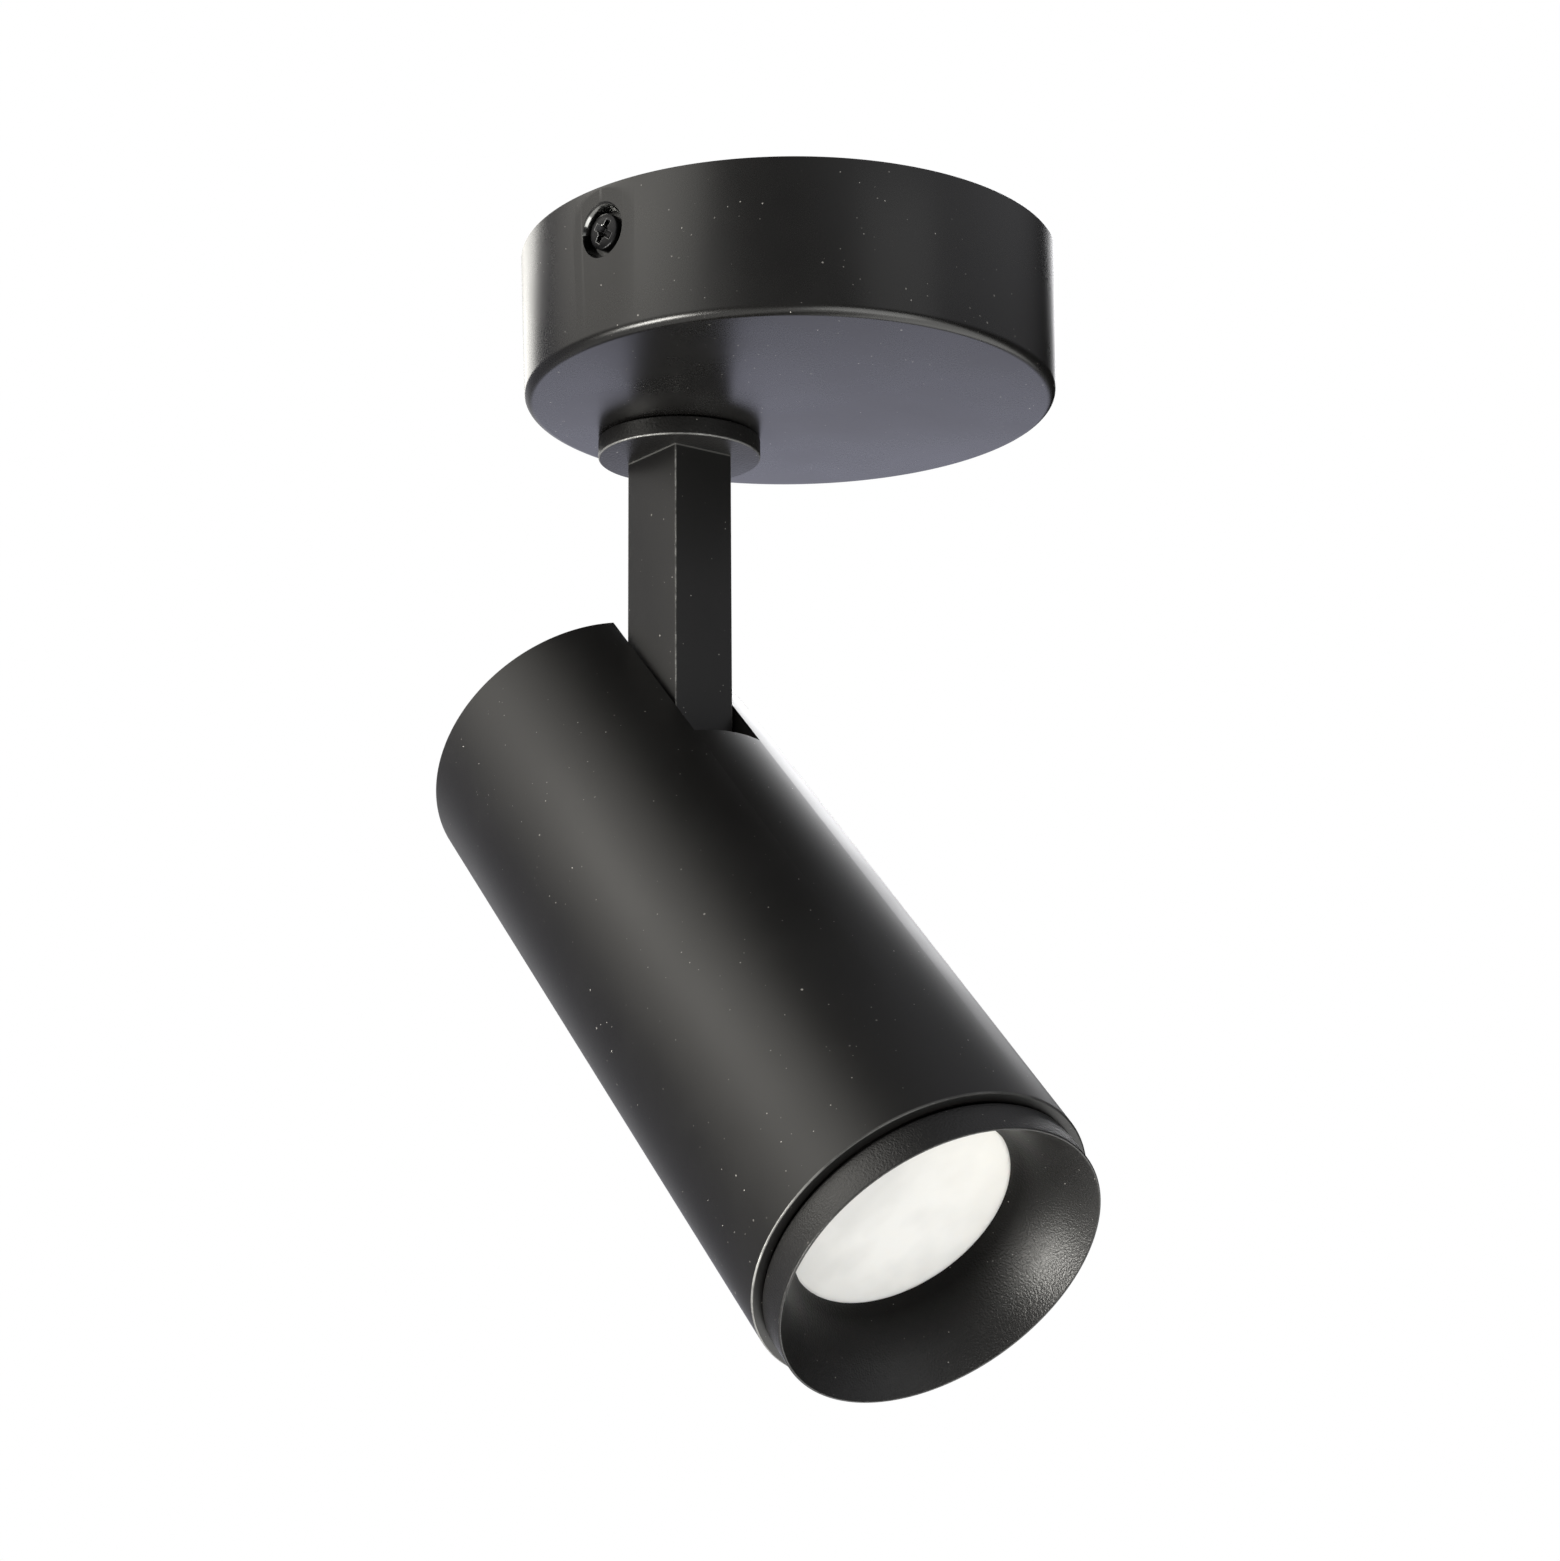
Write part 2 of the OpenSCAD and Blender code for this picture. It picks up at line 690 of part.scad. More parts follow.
module swivel_collar()
    color(coat) on_arm() difference() {
        translate([0, 0, -canopy_h]) rotate_extrude() polygon([
            [nipple_d / 2 + fit_gap, -slide_gap - washer_pocket],
            [washer_d / 2 + fit_gap, -slide_gap - washer_pocket],
            [washer_d / 2 + fit_gap, -slide_gap],
            [collar_d / 2 - collar_edge, -slide_gap],
            [collar_d / 2, -slide_gap - collar_edge],
            [collar_d / 2, -collar_h + collar_edge],
            [collar_d / 2 - collar_edge, -collar_h],
            [nipple_d / 2 + fit_gap, -collar_h]]);
        translate([-bar_w / 2 - fit_gap, -bar_t / 2 - fit_gap, bar_top - bar_pocket - cut])
            cube([bar_w + 2 * fit_gap, bar_t + 2 * fit_gap, bar_pocket + cut]);
    }

module swivel_nipple()
    color(zinc) on_arm() translate([0, 0, nipple_foot]) difference() {
        union() {
            cylinder(d = nipple_d, h = floor_z - nipple_foot);
            two_flats(nipple_d, nipple_flat, nipple_top - nipple_foot);
        }
        translate([0, 0, -cut]) cylinder(d = nipple_bore_d, h = nipple_top - nipple_foot + 2 * cut);
    }

module inner_washer()
    color(moulded) on_arm() translate([0, 0, floor_z])
        ring(inner_washer_d / 2, nipple_d / 2 + fit_gap, inner_washer_t);

module stop_washer()
    color(zinc) on_arm() translate([0, 0, stop_washer_z]) difference() {
        union() {
            cylinder(d = stop_washer_d, h = stop_washer_t);
            translate([0, -tab_side / 2, 0]) cube([tab_reach, tab_side, stop_washer_t]);
        }
        translate([0, 0, -cut])
            two_flats(nipple_d + 2 * fit_gap, nipple_flat + 2 * fit_gap, stop_washer_t + 2 * cut);
    }

module disc_spring()
    color(zinc) on_arm() translate([0, 0, spring_z]) rotate_extrude() polygon([
        [spring_d / 2, 0],
        [spring_d / 2, spring_t],
        [spring_bore_d / 2, spring_rise],
        [spring_bore_d / 2, spring_rise - spring_t]]);

module swivel_nut()
    color(zinc) on_arm() translate([0, 0, swivel_nut_z]) difference() {
        hex(swivel_nut_side, swivel_nut_t);
        translate([0, 0, -cut]) cylinder(d = nipple_d + 2 * fit_gap, h = swivel_nut_t + 2 * cut);
    }

// Section of the bar with its four edges broken
module bar_section()
    for (turn = [0, 180]) rotate([0, 0, turn]) polygon([
        [-bar_w / 2, 0],
        [bar_w / 2, 0],
        [bar_w / 2, bar_t / 2 - bar_edge],
        [bar_w / 2 - bar_edge, bar_t / 2],
        [-bar_w / 2 + bar_edge, bar_t / 2],
        [-bar_w / 2, bar_t / 2 - bar_edge]]);

module arm()
    color(coat) on_arm() difference() {
        intersection() {
            translate([0, 0, hinge_z - bar_w / 2])
                linear_extrude(bar_top - hinge_z + bar_w / 2) bar_section();
            rotate([90, 0, 0]) linear_extrude(bar_t, center = true) {
                translate([0, hinge_z]) circle(d = bar_w);
                translate([-bar_w / 2, hinge_z]) square([bar_w, bar_top - hinge_z]);
            }
        }
        translate([0, 0, nipple_foot]) cylinder(d = nipple_d + 2 * fit_gap, h = bar_top - nipple_foot + cut);
        translate([0, 0, hinge_z - bar_bore_d / 2]) cylinder(d = bar_bore_d, h = bar_top - hinge_z);
        translate([0, 0, hinge_z]) rotate([-90, 0, 0]) {
            cylinder(d = bar_bore_d, h = bar_t);
            translate([0, 0, bar_t / 2 - bush_in - fit_gap])
                cylinder(d = bush_d + 2 * fit_gap, h = bush_in + cut);
            translate([0, 0, -bar_t / 2 - cut])
                cylinder(d = pivot_screw_d + 2 * fit_gap, h = pivot_screw_in + cut + fit_gap);
        }
    }

module arm_lead()
    color("#d8d8d6") on_arm() {
        translate([0, 0, hinge_z + bar_bend_r]) cylinder(d = lead_d, h = nipple_top - hinge_z - bar_bend_r);
        translate([0, bar_bend_r, hinge_z + bar_bend_r]) rotate([90, 0, 90]) rotate([0, 0, 180])
            bend(bar_bend_r);
        translate([0, bar_bend_r, hinge_z]) rotate([-90, 0, 0])
            cylinder(d = lead_d, h = bush_end - bar_bend_r);
    }

module pivot_screw()
    color(zinc) on_arm() translate([0, -bar_t / 2, hinge_z]) rotate([90, 0, 0]) {
        translate([0, 0, -pivot_screw_in]) cylinder(d = pivot_screw_d, h = pivot_screw_in);
        cylinder(d = pivot_shoulder_d, h = ear_outer - bar_t / 2 + slide_gap);
        translate([0, 0, ear_outer - bar_t / 2 + slide_gap]) difference() {
            cylinder(d = pivot_head_d, h = pivot_head_t);
            translate([0, 0, pivot_head_t - pivot_key_deep]) hex(pivot_key_side, pivot_key_deep + cut);
        }
    }

module pivot_bush()
    color(brass) on_arm() translate([0, bar_t / 2, hinge_z]) rotate([-90, 0, 0]) difference() {
        union() {
            translate([0, 0, -bush_in]) cylinder(d = bush_d, h = bush_end - bar_t / 2 + bush_in);
            translate([0, 0, ear_outer - bar_t / 2 + slide_gap]) hex(bush_head_side, bush_head_t);
        }
        translate([0, 0, -bush_in - cut])
            cylinder(d = bush_bore_d, h = bush_end - bar_t / 2 + bush_in + 2 * cut);
    }

module hinge_washers()
    color(moulded) on_arm() translate([0, 0, hinge_z]) {
        translate([0, -bar_t / 2, 0]) rotate([90, 0, 0])
            ring(hinge_washer_d / 2, pivot_shoulder_d / 2 + fit_gap, hinge_washer_t);
        translate([0, bar_t / 2, 0]) rotate([-90, 0, 0])
            ring(hinge_washer_d / 2, bush_d / 2 + fit_gap, hinge_washer_t);
    }

// Tilting with the head

module hinge_bracket()
    color(zinc) on_head() difference() {
        intersection() {
            translate([0, 0, sink_z]) rotate([-90, 0, -90])
                linear_extrude(2 * tube_d, center = true)
                    channel(2 * ear_outer, hinge_ear_r - sink_z - hinge_back, ear_t, hinge_bend_r);
            rotate([90, 0, 0]) linear_extrude(2 * tube_d, center = true) {
                translate([hinge_off, -hinge_back]) circle(r = hinge_ear_r);
                translate([hinge_off - hinge_ear_r, sink_z])
                    square([2 * hinge_ear_r, -hinge_back - sink_z]);
                translate([-hinge_base_tail, sink_z]) square([hinge_base_tail + hinge_off, ear_t]);
            }
        }
        for (side = [-1, 1]) translate([bracket_screw_x, side * bracket_screw_y, sink_z - cut])
            cylinder(d = small_screw_d + 2 * fit_gap, h = ear_t + 2 * cut);
        translate([hinge_off, 0, -hinge_back]) {
            rotate([90, 0, 0]) cylinder(d = pivot_shoulder_d + 2 * run_gap, h = ear_outer + cut);
            rotate([-90, 0, 0]) cylinder(d = bush_d + 2 * run_gap, h = ear_outer + cut);
        }
    }

module hinge_bracket_screws()
    color(zinc) on_head() for (side = [-1, 1])
        translate([bracket_screw_x, side * bracket_screw_y, sink_z + ear_t])
            pan_screw(small_screw_d, ear_t + bracket_screw_len, small_head_d, small_head_h);

module head_tube()
    color(coat) on_head() difference() {
        rotate_extrude() polygon([
            [tube_r - tube_rear_edge, 0],
            [tube_r, -tube_rear_edge],
            [tube_r, -tube_len + tube_front_edge],
            [tube_r - tube_front_edge, -tube_len],
            [bore_r, -tube_len],
            [bore_r, -tube_len + snap_back - snap_w],
            [bore_r + snap_deep, -tube_len + snap_back - snap_w],
            [bore_r + snap_deep, -tube_len + snap_back],
            [bore_r, -tube_len + snap_back],
            [bore_r, sink_z],
            [bore_step_r, sink_z],
            [bore_step_r, -cap_in - cap_t],
            [bore_r, -cap_in - cap_t],
            [bore_r, 0]]);
        translate([0, -slot_w / 2, -slot_len]) cube([tube_d, slot_w, slot_len + cut]);
    }

module rear_cap()
    color(coat) on_head() difference() {
        rotate_extrude() polygon([
            [0, -cap_in],
            [bore_r - fit_gap - cap_edge, -cap_in],
            [bore_r - fit_gap, -cap_in - cap_edge],
            [bore_r - fit_gap, -cap_in - cap_t],
            [0, -cap_in - cap_t]]);
        translate([hinge_off - bar_w / 2 - stop_gap, -slot_w / 2, -cap_in - cap_t - cut])
            cube([tube_d, slot_w, cap_t + 2 * cut]);
        for (side = [-1, 1]) translate([cap_post_x, side * cap_post_y, -cap_in]) {
            translate([0, 0, -cap_t - cut]) cylinder(d = cap_screw_d + 2 * fit_gap, h = cap_t + 2 * cut);
            translate([0, 0, -cap_screw_head_h]) cylinder(d1 = cap_screw_d + 2 * fit_gap,
                d2 = cap_screw_head_d + 2 * fit_gap, h = cap_screw_head_h);
            cylinder(d = cap_screw_head_d + 2 * fit_gap, h = cut);
        }
    }

module rear_cap_screws()
    color(zinc) on_head() for (side = [-1, 1]) translate([cap_post_x, side * cap_post_y, -cap_in]) {
        translate([0, 0, -cap_screw_len]) cylinder(d = cap_screw_d, h = cap_screw_len - cap_screw_head_h);
        difference() {
            translate([0, 0, -cap_screw_head_h])
                cylinder(d1 = cap_screw_d, d2 = cap_screw_head_d, h = cap_screw_head_h);
            for (turn = [0, 90]) rotate([0, 0, turn]) translate([-cross_len / 2, -cross_w / 2, -cross_deep])
                cube([cross_len, cross_w, cross_deep + cut]);
        }
    }

// Notch for the lead through a plate of the heat sink, open at the rim
module lead_notch(h) {
    notch_w = lead_d + 2 * lead_slot_gap;
    rotate([0, 0, lead_turn]) {
        translate([lead_r, 0, 0]) cylinder(d = notch_w, h = h);
        translate([lead_r, -notch_w / 2, 0]) cube([tube_r, notch_w, h]);
    }
}

// Core and fins, with the lead's notch midway between two fins
module sink_section(tip_r) {
    circle(d = core_d);
    for (fin = [0 : fin_count - 1]) rotate([0, 0, lead_turn + (fin + 1 / 2) * 360 / fin_count])
        translate([core_d / 2 - fin_root, -fin_t / 2])
            square([tip_r - fin_short - core_d / 2 + fin_root, fin_t]);
}

module heat_sink() {
    sink_r = bore_r - 2 * fit_gap;
    color(alu) on_head() difference() {
        union() {
            translate([0, 0, sink_z - sink_flange_t]) cylinder(r = sink_r, h = sink_flange_t);
            translate([0, 0, sink_front]) cylinder(r = sink_r, h = sink_plate_t);
            translate([0, 0, sink_front + sink_plate_t - fin_root])
                linear_extrude(sink_len - sink_plate_t - sink_flange_t + 2 * fin_root) sink_section(sink_r);
            for (side = [-1, 1]) translate([cap_post_x, side * cap_post_y, sink_z - sink_flange_t / 2])
                cylinder(d = cap_post_d, h = -sink_z - cap_in - cap_t + sink_flange_t / 2);
        }
        translate([0, 0, sink_z - sink_flange_t - cut]) lead_notch(sink_flange_t + 2 * cut);
        translate([0, 0, sink_front - cut]) lead_notch(sink_plate_t + 2 * cut);
        for (side = [-1, 1]) {
            translate([bracket_screw_x, side * bracket_screw_y, sink_z - bracket_screw_len - fit_gap])
                cylinder(d = small_screw_d + 2 * fit_gap, h = bracket_screw_len + fit_gap + cut);
            translate([cap_post_x, side * cap_post_y, -cap_in - cap_screw_len - cut])
                cylinder(d = cap_screw_d + 2 * fit_gap, h = cap_screw_len);
            rotate([0, 0, side * 90]) translate([holder_screw_r, 0, sink_front - cut])
                cylinder(d = small_screw_d + 2 * fit_gap, h = holder_screw_len - holder_t + 2 * cut);
        }
    }
}

module board_block(side, z_top, t)
    translate([-side / 2, -side / 2, z_top - t]) cube([side, side, t]);

module thermal_pad() color("#c9a9b8") on_head() board_block(board_side, sink_front, pad_t);

module led_board() color(alu) on_head() board_block(board_side, sink_front - pad_t, board_t);

module led_emitter()
    color("#e6c34a") on_head() translate([0, 0, sink_front - pad_t - board_t - emitter_t])
        cylinder(d = emitter_d, h = emitter_t);

module led_holder() {
    pocket = board_side + 2 * fit_gap;
    pocket_h = pad_t + board_t;
    color(moulded) on_head() difference() {
        union() {
            translate([0, 0, holder_z]) cylinder(r = holder_r, h = holder_t);
            rotate([0, 0, lead_turn]) translate([0, -inlet_w / 2, holder_z])
                cube([inlet_r, inlet_w, holder_t]);
        }
        translate([0, 0, holder_z])
            cylinder(r1 = throat_r, r2 = holder_mouth_d / 2, h = holder_t - pocket_h);
        translate([0, 0, holder_z + cut]) cylinder(d = holder_mouth_d, h = holder_t);
        translate([0, 0, sink_front - pocket_h]) translate([-pocket / 2, -pocket / 2, 0])
            cube([pocket, pocket, pocket_h + cut]);
        for (side = [-1, 1]) rotate([0, 0, side * 90]) translate([holder_screw_r, 0, holder_z - cut])
            cylinder(d = small_screw_d + 2 * fit_gap, h = holder_t + 2 * cut);
    }
}

module led_holder_screws()
    color(zinc) on_head() for (side = [-1, 1])
        rotate([0, 0, side * 90]) translate([holder_screw_r, 0, holder_z]) mirror([0, 0, 1])
            pan_screw(small_screw_d, holder_screw_len, small_head_d, small_head_h);

// Radius of the reflector's inner curve, a parabola from the throat to the mouth
function dish_r(part) = sqrt(pow(throat_r, 2) + (pow(mouth_r, 2) - pow(throat_r, 2)) * part);

module reflector() {
    dish_len = holder_z - dish_front;
    inner = [for (i = [0 : reflector_steps])
        [dish_r(i / reflector_steps), holder_z - dish_len * i / reflector_steps]];
    outer = [for (i = [reflector_steps : -1 : 0]) inner[i] + [reflector_t, 0]];
    color(alu) on_head() rotate_extrude() union() {
        polygon(concat(inner, outer));
        translate([mouth_r, dish_front]) square([lens_r - mouth_r, flange_t]);
    }
}

module lens_gasket()
    color(rubber) on_head() translate([0, 0, lens_z + lens_t]) ring(lens_r, lens_r - gasket_w, gasket_t);

module lens() color("#f4f3ee") on_head() translate([0, 0, lens_z]) cylinder(r = lens_r, h = lens_t);

module bezel() {
    skirt_r = bore_r - skirt_gap;
    neck_r = band_r - neck_in;
    seat_r = lens_r + fit_gap;
    ring_r = seat_r + ring_w;
    ring_top = lens_z + lens_t + gasket_t + ring_back;
    cone_rise = cone_deep / (band_r - rim_w - aperture_r);
    skirt_top = -tube_len + skirt_len;
    bead_mid = -tube_len + snap_back - snap_w / 2;
    color(coat) on_head() difference() {
        rotate_extrude() difference() {
            union() {
                polygon([
                    [aperture_r, cone_foot],
                    [band_r - rim_w, bezel_front],
                    [band_r, bezel_front],
                    [band_r, band_back - band_round],
                    [band_r - band_round, band_back],
                    [neck_r, band_back],
                    [neck_r, -tube_len + neck_len],
                    [skirt_r, -tube_len + neck_len],
                    [skirt_r, bead_mid - bead_w / 2],
                    [skirt_r + bead_h, bead_mid],
                    [skirt_r, bead_mid + bead_w / 2],
                    [skirt_r, skirt_top],
                    [neck_r - skirt_t, skirt_top],
                    [neck_r - skirt_t, cone_foot - cone_rise * (neck_r - skirt_t - cone_wall - aperture_r)],
                    [ring_r, cone_foot - cone_rise * (ring_r - cone_wall - aperture_r)],
                    [ring_r, ring_top],
                    [aperture_r, ring_top]]);
                translate([band_r - band_round, band_back - band_round]) circle(r = band_round);
            }
            translate([0, lens_z]) square([seat_r, ring_top - lens_z + cut]);
        }
        for (i = [0 : skirt_cut_count - 1]) rotate([0, 0, (i + 1 / 2) * 360 / skirt_cut_count])
            translate([ring_r, -skirt_cut_w / 2, -tube_len + skirt_cut_end])
                cube([tube_r, skirt_cut_w, skirt_len]);
    }
}

module head_lead()
    color("#d8d8d6") on_head() {
        translate([hinge_off, bush_end, -hinge_back]) rotate([-90, 0, 0])
            cylinder(d = lead_d, h = lead_stub);
        translate([hinge_off, bush_end + lead_stub, -hinge_back - hinge_bend_lead_r]) rotate([90, 0, 90])
            bend(hinge_bend_lead_r);
        translate([hinge_off, lead_y, inlet_z + lamp_bend_r]) {
            cylinder(d = lead_d, h = -hinge_back - hinge_bend_lead_r - inlet_z - lamp_bend_r);
            rotate([0, 0, lead_turn]) {
                translate([-lamp_bend_r, 0, 0]) rotate([90, 0, 0]) rotate([0, 0, -90]) bend(lamp_bend_r);
                translate([inlet_r - lead_r, 0, -lamp_bend_r]) rotate([0, 90, 0])
                    cylinder(d = lead_d, h = lead_r - lamp_bend_r - inlet_r);
            }
        }
    }

mounting_bracket();
bracket_nuts();
earth_screw();
canopy();
canopy_screws();
driver_case();
driver_lid();
driver_board();
terminal_block();
terminal_screws();
floor_screws();
supply_leads();
canopy_lead();
swivel_stop_pin();
collar_washer();
swivel_collar();
swivel_nipple();
inner_washer();
stop_washer();
disc_spring();
swivel_nut();
arm();
arm_lead();
pivot_screw();
pivot_bush();
hinge_washers();
hinge_bracket();
hinge_bracket_screws();
head_tube();
rear_cap();
rear_cap_screws();
heat_sink();
thermal_pad();
led_board();
led_emitter();
led_holder();
led_holder_screws();
reflector();
lens_gasket();
lens();
bezel();
head_lead();
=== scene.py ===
"""Looks of the ceiling spotlight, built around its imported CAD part.

Lengths are in metres, in the part's frame."""

import math

import bmesh
import bpy
from mathutils import Matrix, Vector


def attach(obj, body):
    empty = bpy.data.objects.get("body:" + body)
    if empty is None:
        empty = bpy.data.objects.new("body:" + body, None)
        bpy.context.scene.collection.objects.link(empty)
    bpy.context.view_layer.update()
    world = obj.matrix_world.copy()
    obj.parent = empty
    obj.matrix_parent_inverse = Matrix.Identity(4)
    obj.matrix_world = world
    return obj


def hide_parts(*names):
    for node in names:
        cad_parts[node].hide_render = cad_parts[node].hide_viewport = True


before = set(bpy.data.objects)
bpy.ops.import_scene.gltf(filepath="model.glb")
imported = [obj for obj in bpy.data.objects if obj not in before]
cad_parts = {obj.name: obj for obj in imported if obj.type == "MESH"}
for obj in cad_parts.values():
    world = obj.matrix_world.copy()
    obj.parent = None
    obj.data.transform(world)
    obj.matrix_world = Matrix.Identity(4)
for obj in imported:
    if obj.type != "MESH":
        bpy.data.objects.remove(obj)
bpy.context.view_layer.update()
MM = 0.001
UP = Vector((0, 0, 1))
TURN = 2 * math.pi

# Driving sizes and places of the part, as in its CAD
SWIVEL = Vector((-28.3, 0, 0)) * MM
HEADING = math.radians(-11.57)
TILT = math.radians(45.63)
CANOPY_H = 28 * MM
CANOPY_R = 50 * MM
CANOPY_DRAFT = 0.8 * MM
CANOPY_LOW_R = CANOPY_R - CANOPY_DRAFT
CANOPY_WALL = 1.8 * MM
CANOPY_FLOOR = 2.4 * MM
CANOPY_ROUND = 1.8 * MM
ROOM_R = CANOPY_LOW_R - CANOPY_WALL
FLOOR_Z = CANOPY_FLOOR - CANOPY_H
SIDE_SCREW_DROP = 8.1 * MM
RECESS_DEEP = 2.6 * MM
RECESS_LAND = 1.4 * MM
SIDE_SCREW_SEAT = CANOPY_R - CANOPY_DRAFT * SIDE_SCREW_DROP / CANOPY_H - RECESS_DEEP
RECESS_MOUTH_R = 4.95 * MM
RECESS_SEAT_R = 4.1 * MM
COLLAR_R = 15.5 * MM
COLLAR_H = 4 * MM
BAR_W = 16 * MM
BAR_T = 13 * MM
BAR_DROP = 60.5 * MM
HINGE_Z = -(CANOPY_H + COLLAR_H + BAR_DROP)
HINGE_BACK = 29 * MM
HINGE_IN = 14.1 * MM
TUBE_R = 31 * MM
TUBE_LEN = 142 * MM
TUBE_WALL = 2 * MM
TUBE_EDGE = 0.4 * MM
HINGE_OFF = TUBE_R - HINGE_IN
BORE_R = TUBE_R - TUBE_WALL
BEZEL_OUT = 7 * MM

# Frames of the bar and of the head: the head's origin is the tube's rear rim, with +Z to the rear
ARM = Matrix.Translation(SWIVEL) @ Matrix.Rotation(HEADING, 4, "Z")
HEAD = (
    ARM
    @ Matrix.Translation((0, 0, HINGE_Z))
    @ Matrix.Rotation(-TILT, 4, "Y")
    @ Matrix.Translation((-HINGE_OFF, 0, HINGE_BACK))
)
TUBE_MOUTH = HEAD @ Vector((0, 0, -TUBE_LEN))


def toward(azimuth, rise):
    """Direction from the object, with azimuth 0 along -Y and 90 along +X."""
    turn = math.radians(azimuth)
    lift = math.radians(rise)
    flat = math.cos(lift)
    return Vector((math.sin(turn) * flat, -math.cos(turn) * flat, math.sin(lift)))


# Directions of the head: to its rear, and across it to the right and upward as the camera sees it
CAMERA_SIDE = toward(41.5, -12)
BACKWARD = HEAD.to_3x3() @ UP
RIGHTWARD = BACKWARD.cross(CAMERA_SIDE).normalized()
UPWARD = RIGHTWARD.cross(BACKWARD).normalized()

# ---------------------------------------------------------------- materials

# The middle range of a noise's values, and a narrower one for more contrast
SPREAD = (0.3, 0.7)
CONTRAST = (0.35, 0.65)
# Width over which the edges of the rubbed lines and of the painted highlights fade
FADE = 0.1 * MM
BEVEL_SAMPLES = 6
# Cosines of the bevelled normal to the true one, from open face to full edge
EDGE_COSINES = (0.995, 0.9)
# Dust specks: the share of a speck that is solid, and the size of its outline's waves
SPECK_CORE = 0.5
SPECK_WAVES = 3


class Paint:
    """A node material with short calls for the nodes that the finishes share."""

    def __init__(self, name):
        self.mat = bpy.data.materials.new(name)
        self.mat.use_nodes = True
        self.tree = self.mat.node_tree
        self.bsdf = self.tree.nodes["Principled BSDF"]
        self.place = self.tree.nodes.new("ShaderNodeTexCoord").outputs["Object"]

    def node(self, kind, **values):
        made = self.tree.nodes.new("ShaderNode" + kind)
        for key, value in values.items():
            setattr(made, key, value)
        return made

    def join(self, source, target):
        self.tree.links.new(source, target)

    def set(self, **values):
        for key, value in values.items():
            self.bsdf.inputs[key.replace("_", " ")].default_value = value

    def noise(self, size, detail=2.0, rough=0.5, stretch=None):
        """Noise whose features are about `size` metres wide."""
        place = self.place
        if stretch:
            bent = self.node("Mapping")
            bent.inputs["Scale"].default_value = stretch
            self.join(place, bent.inputs["Vector"])
            place = bent.outputs["Vector"]
        made = self.node("TexNoise")
        made.inputs["Scale"].default_value = 1 / size
        made.inputs["Detail"].default_value = detail
        made.inputs["Roughness"].default_value = rough
        self.join(place, made.inputs["Vector"])
        return made.outputs["Fac"]

    def span(self, value, low, high, to_low=0.0, to_high=1.0):
        """Maps low..high of a value to to_low..to_high, held at both ends."""
        made = self.node("MapRange")
        for key, number in zip(
            ("From Min", "From Max", "To Min", "To Max"), (low, high, to_low, to_high)
        ):
            made.inputs[key].default_value = number
        self.join(value, made.inputs["Value"])
        return made.outputs["Result"]

    def product(self, *values):
        """Product of two or more values."""
        whole = values[0]
        for value in values[1:]:
            whole = self.math("MULTIPLY", whole, value)
        return whole

    def math(self, kind, first, second):
        made = self.node("Math", operation=kind)
        self.join(first, made.inputs[0])
        if isinstance(second, (int, float)):
            made.inputs[1].default_value = second
        else:
            self.join(second, made.inputs[1])
        return made.outputs["Value"]

    def mix(self, fac, first, second):
        """Mix of two colours, each a tuple or a socket."""
        made = self.node("Mix", data_type="RGBA")
        self.join(fac, made.inputs["Factor"])
        for socket, value in ((made.inputs[6], first), (made.inputs[7], second)):
            if isinstance(value, tuple):
                socket.default_value = (*value, 1)
            else:
                self.join(value, socket)
        return made.outputs[2]

    def specks(self, spacing, radius, share=1.0):
        """Dust specks of up to `radius` metres, each of its own strength, in cells of `spacing`."""
        waves = self.node("TexNoise")
        waves.inputs["Scale"].default_value = 1 / (radius * SPECK_WAVES)
        self.join(self.place, waves.inputs["Vector"])
        wander = self.node("VectorMath", operation="MULTIPLY_ADD")
        self.join(waves.outputs["Color"], wander.inputs[0])
        wander.inputs[1].default_value = (radius,) * 3
        self.join(self.place, wander.inputs[2])
        cells = self.node("TexVoronoi")
        cells.inputs["Scale"].default_value = 1 / spacing
        self.join(wander.outputs["Vector"], cells.inputs["Vector"])
        reach = radius / spacing
        dot = self.span(cells.outputs["Distance"], SPECK_CORE * reach, reach, 1.0, 0.0)
        chosen = self.node("SeparateColor")
        self.join(cells.outputs["Color"], chosen.inputs["Color"])
        return self.product(dot, self.span(chosen.outputs["Red"], 1 - share, 1.0))

    def along(self, axis, origin):
        """Distance of a point from `origin` along a direction, both in the part's frame."""
        made = self.node("VectorMath", operation="DOT_PRODUCT")
        self.join(self.place, made.inputs[0])
        made.inputs[1].default_value = axis
        return self.math("SUBTRACT", made.outputs["Value"], float(Vector(axis).dot(origin)))

    def off_axis(self, axis, origin):
        """Distance of a point from the line through `origin` along `axis`."""
        aside = Vector(axis).orthogonal().normalized()
        other = Vector(axis).cross(aside).normalized()
        first = self.along(aside, origin)
        second = self.along(other, origin)
        square = self.math("ADD", self.product(first, first), self.product(second, second))
        return self.math("SQRT", square, 0)

    def bevel(self, radius):
        """Normal that is rounded over sharp edges."""
        soft = self.node("Bevel", samples=BEVEL_SAMPLES)
        soft.inputs["Radius"].default_value = radius
        return soft.outputs["Normal"]

    def edges(self, radius):
        """1 near a sharp edge and 0 on open faces."""
        shape = self.node("NewGeometry")
        turn = self.node("VectorMath", operation="DOT_PRODUCT")
        self.join(self.bevel(radius), turn.inputs[0])
        self.join(shape.outputs["Normal"], turn.inputs[1])
        return self.span(turn.outputs["Value"], *EDGE_COSINES)

